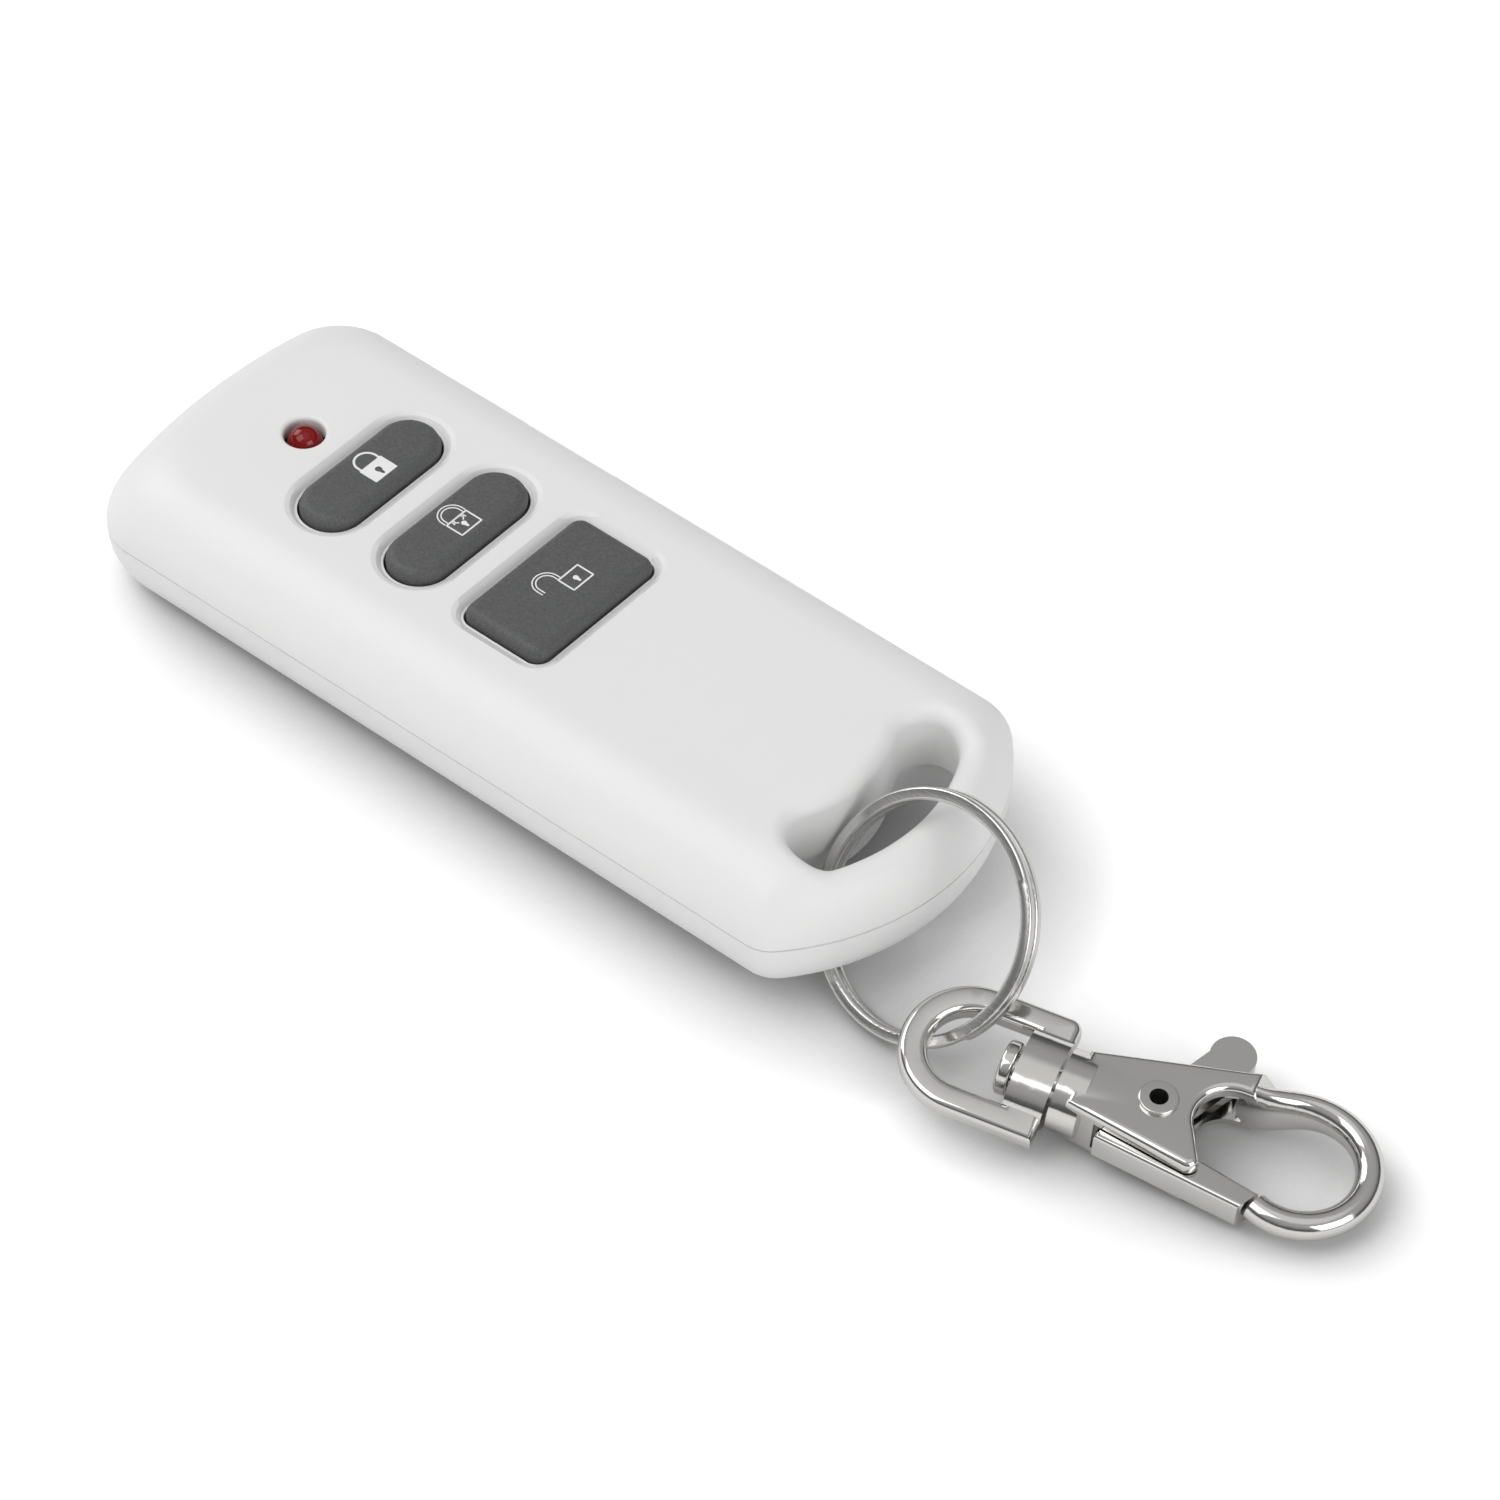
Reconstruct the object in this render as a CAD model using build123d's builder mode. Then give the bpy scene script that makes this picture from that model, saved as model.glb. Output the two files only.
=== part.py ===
"""
Alarm key fob: two moulded shells round a circuit board and a coin cell, three push buttons,
a status lamp, a split ring through the crescent slot and a swivel snap hook on the ring.

Millimetres, +Z up. The origin is the centre of the flat underside, and +X points to the
key-ring end.
"""
import os
from math import atan2, cos, pi, radians, sin, sqrt

from build123d import *

# Housing: plan, heights and edges
fob_length = 80.8
fob_width = 31.0
fob_height = 11.3
parting_height = 5.4
seam_groove = 0.18
led_end_radius = 51.4
led_corner_radius = 5.5
ring_end_radius = 21.2
ring_corner_radius = 3.0
shoulder_inset = 5.6
base_inset = 3.0
wall = 1.4
loft_steps = 4
overrun = 1.0

# Lip that locates the two shells
lip_setback = 0.75
lip_thickness = 0.6
lip_height = 0.8
lip_clearance = 0.05

# Crescent slot for the ring, concentric with the ring end, and the bar beyond it
slot_bar = 4.0
slot_width = 5.1
slot_end_angle = 26.5
slot_edge_radius = 1.4
slot_flare = 2.1
slot_flare_height = 2.2
slot_wall = 1.6
slot_back_margin = 0.5

# Pry notch on the far long edge
notch_length = 9.9
notch_from_led_end = 23.6
notch_depth = 0.35
notch_height = 4.2

# Buttons: openings, bezels and caps
arm_from_lamp = 7.34
part_arm_from_arm = 9.46
disarm_from_part_arm = 10.99
small_opening_width = 5.89
small_opening_length = 14.85
large_opening_width = 8.88
large_opening_length = 14.78
large_opening_corner = 1.42
bezel_width = 1.0
bezel_depth = 0.35
button_gap = 0.2
button_proud = 0.6
button_edge_radius = 0.9
button_flange = 0.9
button_flange_thickness = 0.7
button_flange_drop = 0.3
button_boss_radius = 2.0

# Circuit board and what stands on it
board_drop = 0.1
board_thickness = 1.0
board_inset = 2.6
board_end_gap = 0.5
board_hole_radius = 1.0
board_hole_from_ring_end = 15.9
board_hole_y = 6.8
board_hole_from_led_end = 7.9
board_led_hole_y = 7.0
switch_side = 5.2
switch_height = 1.6
switch_floor = 0.2
plunger_radius = 1.5
plunger_clearance = 0.05
plunger_depth = 0.7
plunger_height = 0.6
processor_side = 5.0
processor_height = 0.9
processor_from_cell = -4.5
processor_y = 5.5
radio_side = 4.0
radio_height = 0.8
radio_from_cell = -4.0
radio_y = -5.5
crystal_length = 3.2
crystal_width = 2.5
crystal_height = 0.8
crystal_from_cell = 2.5
crystal_y = -5.5
capacitor_length = 1.6
capacitor_width = 0.8
capacitor_height = 0.8
capacitor_from_cell = 2.5
capacitor_y = 5.5
capacitor_pitch = 2.6
capacitor_columns = 3
capacitor_rows = 2
antenna_strip = 1.0
antenna_height = 0.5
antenna_inset = 4.6
antenna_leg = 4.8
antenna_half_width = 4.5
antenna_corner = 1.5

# Status lamp
led_from_end = 12.2
led_radius = 1.5
led_flange_radius = 1.9
led_flange_height = 1.0
led_hole_radius = 1.75
led_hole_edge = 0.35
led_proud = 0.15

# Coin cell, its well and its two contacts
cell_from_ring_end = 26.4
cell_radius = 10.0
cell_height = 3.2
cell_step = 0.5
cell_step_inset = 1.0
cell_lift = 0.1
well_clearance = 0.4
well_thickness = 0.6
well_height = 3.0
well_gap_width = 12.0
contact_thickness = 0.2
contact_clearance = 0.1
positive_arc = 50.0
positive_foot = 1.2
negative_length = 8.0
negative_width = 3.0
negative_foot = 1.6
post_radius = 1.6
post_pin_height = 0.8
post_pin_clearance = 0.05

# Split ring: two turns of flattened wire, leaning on the bar of the slot
ring_radius = 10.15
ring_wire_width = 1.05
ring_wire_height = 0.8
ring_wire_edge = 0.25
ring_turn_gap = 0.1
ring_ramp_angle = 24.0
ring_ramp_steps = 6
ring_split_angle = 300.0
ring_from_slot = 10.05
ring_y = -4.4
ring_z = 5.75
ring_yaw = -6.3
ring_lean = 37.7

# Snap hook: place of the eye's round end on the ring, and heading of the swivel axis
eye_turn = -33.52
eye_beyond_ring = 1.27
eye_offset = 0.59
hook_yaw = 17.8
hook_pitch = 5.7
hook_roll = 5.0
eye_roll = 11.0

# Swivel eye
eye_width = 11.4
eye_length = 12.9
eye_wire = 2.3
eye_thickness = 2.0
eye_edge_radius = 0.7
eye_bar = 3.2
eye_boss_width = 3.9
eye_boss_height = 2.6
eye_corner = 1.0

# Swivel rivet
rivet_radius = 1.35
rivet_clearance = 0.05
rivet_head_radius = 2.2
rivet_head_height = 1.1
rivet_head_gap = 0.3
rivet_head_edge = 0.3
rivet_grip = 2.0
rivet_seat_clearance = 0.02

# Hook body, measured along and across the swivel axis
barrel_start = 0.3
barrel_end = 2.6
barrel_width = 7.0
barrel_height = 5.8
cheek_height = 5.2
cheek_edge = 0.6
cheek_start = 1.5
cheek_rear_half = 2.7
cheek_far_u = 13.6
cheek_far_v = 6.2
root_end_u = 15.4
root_end_v = 6.75
root_slope_length = 2.2
root_slope_drop = 1.2
nose_u = 11.75
nose_v = -3.35
nose_radius = 0.95
mouth_u = 13.65
mouth_v = 1.1
mouth_radius = 2.9
mouth_angle = 125.0
lever_slot = 3.1
lever_slot_start = 4.0
lever_slot_end = 13.7

# Hook wire: a bow about its own centre, from the root round to the tip
bow_u = 19.7
bow_v = 1.0
bow_radius = 5.25
bow_wire_radius = 1.15
root_u = 13.0
root_v = 5.15
root_width = 1.3
root_height = 2.3
root_angle = 12.0
bow_taper_share = 0.45
bow_start_angle = 96.0
bow_tip_angle = -114.0
bow_steps = 7
tip_reach = 10.75

# Gate lever and its pivot
pivot_u = 7.85
pivot_v = 0.5
gate_reach = 10.55
gate_height = 2.8
gate_rear_u = 4.4
gate_rear_near = -4.0
gate_rear_far = -2.3
gate_tip_near = -5.5
gate_tip_far = -3.5
gate_edge = 0.4
gate_hub_radius = 2.8
tab_u = 11.4
tab_v = 7.8
tab_radius = 1.85
tab_height = 2.0
tab_neck_width = 3.0
eyelet_radius = 1.15
eyelet_bore = 0.75
eyelet_clearance = 0.05
eyelet_flange_radius = 1.6
eyelet_flange_height = 0.35
spring_wire = 0.4
spring_radius = 1.75
spring_leg = 2.6
spring_pocket_radius = 2.05
spring_pocket_depth = 1.2
spring_gap = 0.1
spring_pitch = 0.5
spring_turns = 1.25

# Places that follow from the sizes above
ring_end_x = fob_length / 2 - ring_end_radius
led_end_x = led_end_radius - fob_length / 2
slot_outer_radius = ring_end_radius - slot_bar
slot_inner_radius = slot_outer_radius - slot_width
notch_start = notch_from_led_end - fob_length / 2
ceiling = fob_height - wall
board_bottom = parting_height - board_drop
board_top = board_bottom + board_thickness
button_seat = board_top + switch_height + plunger_height
cell_bottom = wall + cell_lift
cell_top = cell_bottom + cell_height

led_x = led_from_end - fob_length / 2
arm_button_x = led_x + arm_from_lamp
part_arm_button_x = arm_button_x + part_arm_from_arm
disarm_button_x = part_arm_button_x + disarm_from_part_arm
cell_x = fob_length / 2 - cell_from_ring_end
board_hole_x = fob_length / 2 - board_hole_from_ring_end
board_led_hole_x = board_hole_from_led_end - fob_length / 2
board_holes = (
    (board_hole_x, board_hole_y),
    (board_hole_x, -board_hole_y),
    (board_led_hole_x, board_led_hole_y),
    (board_led_hole_x, -board_led_hole_y),
)
antenna_end_x = antenna_inset - fob_length / 2

ring_x = ring_end_x + slot_inner_radius + ring_from_slot
ring_across = Vector(cos(radians(ring_yaw)), sin(radians(ring_yaw)), 0)
ring_side = Vector(-sin(radians(ring_yaw)), cos(radians(ring_yaw)), 0)
ring_up = ring_side * sin(radians(ring_lean)) + Vector(0, 0, cos(radians(ring_lean)))
ring_plane = Plane(
    origin=(ring_x, ring_y, ring_z), x_dir=ring_across, z_dir=ring_across.cross(ring_up)
)

hook_axis = Vector(
    cos(radians(hook_pitch)) * cos(radians(hook_yaw)),
    cos(radians(hook_pitch)) * sin(radians(hook_yaw)),
    -sin(radians(hook_pitch)),
)
hook_across = Vector(-sin(radians(hook_yaw)), cos(radians(hook_yaw)), 0)
eye_place = (
    ring_plane.origin
    + (ring_plane.x_dir * cos(radians(eye_turn)) + ring_plane.y_dir * sin(radians(eye_turn)))
    * (ring_radius + eye_beyond_ring)
    + ring_plane.z_dir * eye_offset
)
hook_origin = eye_place + hook_axis * (eye_length - eye_width / 2)


def rolled_plane(roll):
    """Plane through the swivel axis: x along the axis, y across it, turned about it by roll."""
    upright = hook_axis.cross(hook_across)
    normal = upright * cos(radians(roll)) - hook_across * sin(radians(roll))
    return Plane(origin=hook_origin, x_dir=hook_axis, z_dir=normal)


eye_plane = rolled_plane(eye_roll)
hook_plane = rolled_plane(hook_roll)


def housing_outline(level, inset):
    """Plan outline of the housing at a level, drawn in by inset: two end arcs, two straight
    sides and four corner arcs, all tangent."""
    half = fob_width / 2 - inset
    led_radius_here = led_end_radius - inset
    ring_radius_here = ring_end_radius - inset
    led_corner_y = half - led_corner_radius
    ring_corner_y = half - ring_corner_radius
    led_corner_x = led_end_x - sqrt((led_radius_here - led_corner_radius) ** 2 - led_corner_y**2)
    ring_corner_x = ring_end_x + sqrt(
        (ring_radius_here - ring_corner_radius) ** 2 - ring_corner_y**2
    )
    led_turn = atan2(led_corner_y, led_corner_x - led_end_x)
    ring_turn = atan2(ring_corner_y, ring_corner_x - ring_end_x)

    def on_circle(x, y, radius, angle):
        return (x + radius * cos(angle), y + radius * sin(angle))

    led_tangent = on_circle(led_end_x, 0, led_radius_here, led_turn)
    led_middle = on_circle(led_corner_x, led_corner_y, led_corner_radius, (led_turn + pi / 2) / 2)
    ring_tangent = on_circle(ring_end_x, 0, ring_radius_here, ring_turn)
    ring_middle = on_circle(
        ring_corner_x, ring_corner_y, ring_corner_radius, (ring_turn + pi / 2) / 2
    )
    with BuildSketch(Plane.XY.offset(level)) as outline:
        with BuildLine():
            ThreePointArc(
                (led_end_x - led_radius_here, 0),
                on_circle(led_end_x, 0, led_radius_here, (led_turn + pi) / 2),
                led_tangent,
            )
            ThreePointArc(led_tangent, led_middle, (led_corner_x, half))
            Line((led_corner_x, half), (ring_corner_x, half))
            ThreePointArc((ring_corner_x, half), ring_middle, ring_tangent)
            ThreePointArc(
                ring_tangent,
                on_circle(ring_end_x, 0, ring_radius_here, ring_turn / 2),
                (ring_end_x + ring_radius_here, 0),
            )
            mirror(about=Plane.XZ)
        make_face()
    return outline.sketch


def crown_sections(bottom, top, first_inset, depth_inset):
    """Outlines on a quarter ellipse, from full width at one level to drawn in at the other."""
    sections = []
    for step in range(loft_steps + 1):
        turn = pi / 2 * step / loft_steps
        inset = first_inset + depth_inset * (1 - cos(turn))
        sections.append(housing_outline(bottom + (top - bottom) * sin(turn), inset))
    return sections


def crescent(level, margin=0.0):
    """Crescent about the ring end's centre, with round ends, wider by margin all round."""
    inner = slot_inner_radius - margin
    outer = slot_outer_radius + margin
    middle = (inner + outer) / 2
    cap = (outer - inner) / 2
    turn = radians(slot_end_angle)
    with BuildSketch(Plane.XY.offset(level)) as shape:
        with BuildLine():
            ends = {}
            for radius in (inner, outer):
                arc = CenterArc((ring_end_x, 0), radius, -slot_end_angle, 2 * slot_end_angle)
                ends[radius] = (arc @ 0, arc @ 1)
            for side, index in ((-1, 0), (1, 1)):
                tip = Vector(
                    ring_end_x + middle * cos(turn) - cap * sin(turn),
                    side * (middle * sin(turn) + cap * cos(turn)),
                )
                ThreePointArc(ends[inner][index], tip, ends[outer][index])
        make_face()
    return shape.sketch


def small_outline(margin=0.0):
    """Stadium of the two small buttons, drawn in the sketch in hand."""
    SlotOverall(small_opening_length + 2 * margin, small_opening_width + 2 * margin, rotation=90)


def large_outline(margin=0.0):
    """Rounded rectangle of the large button, drawn in the sketch in hand."""
    RectangleRounded(
        large_opening_width + 2 * margin,
        large_opening_length + 2 * margin,
        large_opening_corner + margin,
    )


def on_level(draw, x, level, margin=0.0):
    """One button outline on a level, at its place along the fob."""
    with BuildSketch(Plane((x, 0, level))) as shape:
        draw(margin)
    return shape.sketch


buttons = {
    "arm": (small_outline, arm_button_x),
    "part_arm": (small_outline, part_arm_button_x),
    "disarm": (large_outline, disarm_button_x),
}


# Room inside the shells, which ends before the slot's inner wall
with BuildPart() as end_limit:
    with BuildSketch() as plan:
        with Locations((-fob_length / 2, 0)):
            Rectangle(fob_length / 2 + ring_end_x, fob_width, align=(Align.MIN, Align.CENTER))
        with Locations((ring_end_x, 0)):
            Circle(slot_inner_radius - slot_wall)
    extrude(amount=fob_height)

with BuildPart() as front_room:
    loft(crown_sections(parting_height, ceiling, wall, shoulder_inset - wall / 2))
    add(end_limit.part, mode=Mode.INTERSECT)

with BuildPart() as back_room:
    loft(crown_sections(parting_height, wall, wall, base_inset))
    add(end_limit.part, mode=Mode.INTERSECT)


# Front cover: crowned shell with the slot, the button openings and the lamp hole
with BuildPart() as pry_notch:
    loft(crown_sections(parting_height, fob_height, 0.0, shoulder_inset))
    with BuildSketch(Plane.XY.offset(parting_height)) as window:
        with Locations((notch_start, 0)):
            Rectangle(notch_length, fob_width, align=(Align.MIN, Align.MIN))
    extrude(amount=notch_height, mode=Mode.INTERSECT)
    loft(
        crown_sections(parting_height, fob_height - notch_depth, notch_depth, shoulder_inset),
        mode=Mode.SUBTRACT,
    )

with BuildPart() as groove:
    add(housing_outline(parting_height, -overrun))
    extrude(amount=seam_groove)
    loft(
        [housing_outline(parting_height, seam_groove),
         housing_outline(parting_height + seam_groove, 0.0)],
        ruled=True,
        mode=Mode.SUBTRACT,
    )

with BuildPart() as front_cover:
    loft(crown_sections(parting_height, fob_height, 0.0, shoulder_inset))
    add(crescent(parting_height))
    extrude(amount=fob_height, mode=Mode.SUBTRACT)
    slot_walls = front_cover.faces().filter_by(GeomType.CYLINDER)
    fillet(slot_walls.edges().filter_by(lambda edge: edge.bounding_box().min.Z > ceiling),
           radius=slot_edge_radius)
    add(front_room.part, mode=Mode.SUBTRACT)
    add(pry_notch.part, mode=Mode.SUBTRACT)
    add(groove.part, mode=Mode.SUBTRACT)
    with BuildSketch(Plane.XY.offset(parting_height)) as rebate:
        add(housing_outline(0.0, lip_setback - lip_clearance))
        with Locations((ring_end_x, 0)):
            Rectangle(fob_length, fob_width, align=(Align.MIN, Align.CENTER), mode=Mode.SUBTRACT)
    extrude(amount=lip_height + lip_clearance, mode=Mode.SUBTRACT)
    for draw, x in buttons.values():
        loft(
            [
                on_level(draw, x, fob_height, bezel_width),
                on_level(draw, x, fob_height - bezel_depth, button_gap),
            ],
            ruled=True,
            mode=Mode.SUBTRACT,
        )
        add(on_level(draw, x, ceiling - overrun))
        extrude(amount=fob_height, mode=Mode.SUBTRACT)
    with BuildSketch(Plane.XY.offset(ceiling - overrun)) as lamp_hole:
        with Locations((led_x, 0)):
            Circle(led_hole_radius)
    extrude(amount=fob_height, mode=Mode.SUBTRACT)
    lamp_rim = front_cover.edges().filter_by(GeomType.CIRCLE).filter_by(
        lambda edge: abs(edge.radius - led_hole_radius) < lip_clearance
    )
    fillet(lamp_rim.sort_by(Axis.Z)[-1], radius=led_hole_edge)
front_cover.part.label = "front_cover"


# Back cover: tray with the locating lip, the cell's well and the posts for the board
with BuildPart() as back_cover:
    loft(crown_sections(parting_height, 0.0, 0.0, base_inset))
    add(back_room.part, mode=Mode.SUBTRACT)
    with BuildSketch(Plane.XY.offset(parting_height - overrun)) as lip:
        add(housing_outline(0.0, lip_setback))
        add(housing_outline(0.0, lip_setback + lip_thickness), mode=Mode.SUBTRACT)
        with Locations((ring_end_x - lip_clearance, 0)):
            Rectangle(fob_length, fob_width, align=(Align.MIN, Align.CENTER), mode=Mode.SUBTRACT)
    extrude(amount=lip_height + overrun)
    with BuildSketch(Plane.XY.offset(wall)) as well:
        with Locations((cell_x, 0)):
            Circle(cell_radius + well_clearance + well_thickness)
            Circle(cell_radius + well_clearance, mode=Mode.SUBTRACT)
        with Locations((cell_x - cell_radius, 0)):
            Rectangle(cell_radius, well_gap_width, mode=Mode.SUBTRACT)
    extrude(amount=well_height)
    with BuildSketch(Plane.XY.offset(wall)) as posts:
        with Locations(*board_holes):
            Circle(post_radius)
    extrude(amount=board_bottom - wall)
    with BuildSketch(Plane.XY.offset(board_bottom)) as post_pins:
        with Locations(*board_holes):
            Circle(board_hole_radius - post_pin_clearance)
    extrude(amount=post_pin_height)
    add(crescent(0.0, slot_back_margin))
    extrude(amount=parting_height, mode=Mode.SUBTRACT)
    loft(
        [
            crescent(-slot_flare_height, 2 * slot_flare - slot_back_margin),
            crescent(slot_flare_height, slot_back_margin),
        ],
        ruled=True,
        mode=Mode.SUBTRACT,
    )
back_cover.part.label = "back_cover"


# Button caps: a proud top with a soft edge, a flange under the cover and a boss on the switch
button_caps = {}
for name, (draw, x) in buttons.items():
    with BuildPart() as cap:
        flange_top = ceiling - button_flange_drop
        add(on_level(draw, x, flange_top - button_flange_thickness, button_flange))
        extrude(amount=button_flange_thickness)
        add(on_level(draw, x, flange_top, -button_gap))
        extrude(amount=fob_height + button_proud - flange_top)
        fillet(cap.faces().sort_by(Axis.Z)[-1].edges(), radius=button_edge_radius)
        with BuildSketch(Plane.XY.offset(button_seat)) as boss:
            with Locations((x, 0)):
                Circle(button_boss_radius)
        extrude(amount=flange_top - button_seat)
    cap.part.label = name + "_button"
    button_caps[name] = cap


# Tactile switches on the board, one under each button, with their plungers
switches = {}
plungers = {}
for name, (draw, x) in buttons.items():
    with BuildPart() as switch:
        with BuildSketch(Plane.XY.offset(board_top)):
            with Locations((x, 0)):
                Rectangle(switch_side, switch_side)
        extrude(amount=switch_height)
        with BuildSketch(Plane.XY.offset(board_top + switch_floor)):
            with Locations((x, 0)):
                Circle(plunger_radius + plunger_clearance)
        extrude(amount=switch_height, mode=Mode.SUBTRACT)
    switch.part.label = name + "_switch"
    switches[name] = switch
    with BuildPart() as plunger:
        with BuildSketch(Plane.XY.offset(button_seat)):
            with Locations((x, 0)):
                Circle(plunger_radius)
        extrude(amount=-plunger_height - plunger_depth)
    plunger.part.label = name + "_plunger"
    plungers[name] = plunger


# Circuit board, cut to the housing's plan and located on two pins and two posts
with BuildPart() as circuit_board:
    with BuildSketch(Plane.XY.offset(board_bottom)) as board_plan:
        add(housing_outline(0.0, board_inset))
        with Locations((ring_end_x, 0)):
            Rectangle(fob_length, fob_width, align=(Align.MIN, Align.CENTER), mode=Mode.SUBTRACT)
            Circle(slot_inner_radius - slot_wall - board_end_gap)
        with Locations(*board_holes):
            Circle(board_hole_radius, mode=Mode.SUBTRACT)
    extrude(amount=board_thickness)
circuit_board.part.label = "circuit_board"


def chip(label, x, y, length, width, height):
    """Moulded chip standing on the board, with its pin-one corner cut."""
    with BuildPart() as body:
        with BuildSketch(Plane.XY.offset(board_top)):
            with Locations((x, y)):
                Rectangle(length, width)
        extrude(amount=height)
        chamfer(body.edges().filter_by(Axis.Z).sort_by(Axis.X)[0], length=height / 2)
    body.part.label = label
    return body


processor_chip = chip(
    "processor_chip",
    cell_x + processor_from_cell,
    processor_y,
    processor_side,
    processor_side,
    processor_height,
)
radio_chip = chip(
    "radio_chip", cell_x + radio_from_cell, radio_y, radio_side, radio_side, radio_height
)

with BuildPart() as crystal:
    with BuildSketch(Plane.XY.offset(board_top)):
        with Locations((cell_x + crystal_from_cell, crystal_y)):
            Rectangle(crystal_length, crystal_width)
    extrude(amount=crystal_height)
    fillet(crystal.edges().filter_by(Axis.Z), radius=crystal_height / 2)
crystal.part.label = "crystal"

with BuildPart() as chip_capacitors:
    with BuildSketch(Plane.XY.offset(board_top)):
        with Locations((cell_x + capacitor_from_cell, capacitor_y)):
            with GridLocations(
                capacitor_pitch, capacitor_pitch, capacitor_columns, capacitor_rows
            ):
                Rectangle(capacitor_length, capacitor_width)
    extrude(amount=capacitor_height)
chip_capacitors.part.label = "chip_capacitors"

with BuildPart() as antenna:
    with BuildSketch(Plane.XY.offset(board_top)):
        with BuildLine():
            FilletPolyline(
                (antenna_end_x + antenna_leg, -antenna_half_width),
                (antenna_end_x, -antenna_half_width),
                (antenna_end_x, antenna_half_width),
                (antenna_end_x + antenna_leg, antenna_half_width),
                radius=antenna_corner,
            )
        trace(line_width=antenna_strip)
    extrude(amount=antenna_height)
antenna.part.label = "antenna"


# Status lamp: flanged body with a domed top, just below the rim of its hole
with BuildPart() as status_led:
    with BuildSketch(Plane.XY.offset(board_top)):
        with Locations((led_x, 0)):
            Circle(led_flange_radius)
    extrude(amount=led_flange_height)
    with BuildSketch(Plane.XY.offset(board_top)):
        with Locations((led_x, 0)):
            Circle(led_radius)
    extrude(amount=fob_height + led_proud - led_radius - board_top)
    with Locations((led_x, 0, fob_height + led_proud - led_radius)):
        Sphere(led_radius, arc_size1=0)
status_led.part.label = "status_led"


# Coin cell: the can, with the smaller negative cap upwards
with BuildPart() as coin_cell:
    with BuildSketch(Plane.XY.offset(cell_bottom)):
        with Locations((cell_x, 0)):
            Circle(cell_radius)
    extrude(amount=cell_height - cell_step)
    fillet(coin_cell.edges(), radius=cell_step / 2)
    with BuildSketch(Plane.XY.offset(cell_bottom)):
        with Locations((cell_x, 0)):
            Circle(cell_radius - cell_step_inset)
    extrude(amount=cell_height)
coin_cell.part.label = "coin_cell"

with BuildPart() as battery_positive_clip:
    clip_inner = cell_radius + contact_clearance
    for depth, rise in (
        (contact_thickness, board_bottom - cell_bottom),
        (contact_thickness + positive_foot, contact_thickness),
    ):
        with BuildSketch(Plane.XY.offset(board_bottom)):
            with BuildLine():
                inner_arc = CenterArc(
                    (cell_x, 0), clip_inner, 180 - positive_arc / 2, positive_arc
                )
                outer_arc = CenterArc(
                    (cell_x, 0), clip_inner + depth, 180 - positive_arc / 2, positive_arc
                )
                Line(inner_arc @ 0, outer_arc @ 0)
                Line(inner_arc @ 1, outer_arc @ 1)
            make_face()
        extrude(amount=-rise)
battery_positive_clip.part.label = "battery_positive_clip"

with BuildPart() as battery_negative_contact:
    with BuildSketch(Plane.XZ):
        with BuildLine():
            leaf_top = board_bottom - contact_thickness / 2
            leaf_low = cell_top + contact_thickness / 2
            Polyline(
                (cell_x - negative_length / 2, leaf_top),
                (cell_x - negative_length / 2 + negative_foot, leaf_top),
                (cell_x - negative_foot / 2, leaf_low),
                (cell_x + negative_foot / 2, leaf_low),
                (cell_x + negative_length / 2, leaf_top),
            )
        trace(line_width=contact_thickness)
    extrude(amount=negative_width / 2, both=True)
    with BuildSketch(Plane.XY.offset(cell_top)):
        with Locations((cell_x, 0)):
            Rectangle(fob_length, fob_width)
    extrude(amount=board_bottom - cell_top, mode=Mode.INTERSECT)
battery_negative_contact.part.label = "battery_negative_contact"


# Split ring: two flat turns of one wire, joined by the ramp between them
def ring_section(turn, height):
    """Section of the flattened wire at an angle round the ring and a height over its middle."""
    outwards = ring_plane.x_dir * cos(radians(turn)) + ring_plane.y_dir * sin(radians(turn))
    middle = ring_radius - ring_wire_width / 2
    place = ring_plane.origin + outwards * middle + ring_plane.z_dir * height
    tangent = ring_plane.z_dir.cross(outwards)
    with BuildSketch(Plane(origin=place, x_dir=outwards, z_dir=tangent)) as section:
        RectangleRounded(ring_wire_width, ring_wire_height, ring_wire_edge)
    return section.sketch


with BuildPart() as key_ring:
    turn_height = (ring_wire_height + ring_turn_gap) / 2
    for side in (-1, 1):
        add(ring_section(ring_split_angle + ring_ramp_angle, side * turn_height))
        revolve(
            axis=Axis(ring_plane.origin, ring_plane.z_dir),
            revolution_arc=360 - ring_ramp_angle,
        )
    ramp = []
    for step in range(ring_ramp_steps + 1):
        share = step / ring_ramp_steps
        rise = -cos(pi * share) * turn_height
        ramp.append(ring_section(ring_split_angle + ring_ramp_angle * share, rise))
    loft(ramp)
key_ring.part.label = "key_ring"


def square_to(plane, distance):
    """Plane square to another one's x axis, at a distance along it."""
    return Plane(
        origin=plane.origin + plane.x_dir * distance, x_dir=plane.y_dir, z_dir=plane.x_dir
    )


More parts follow.
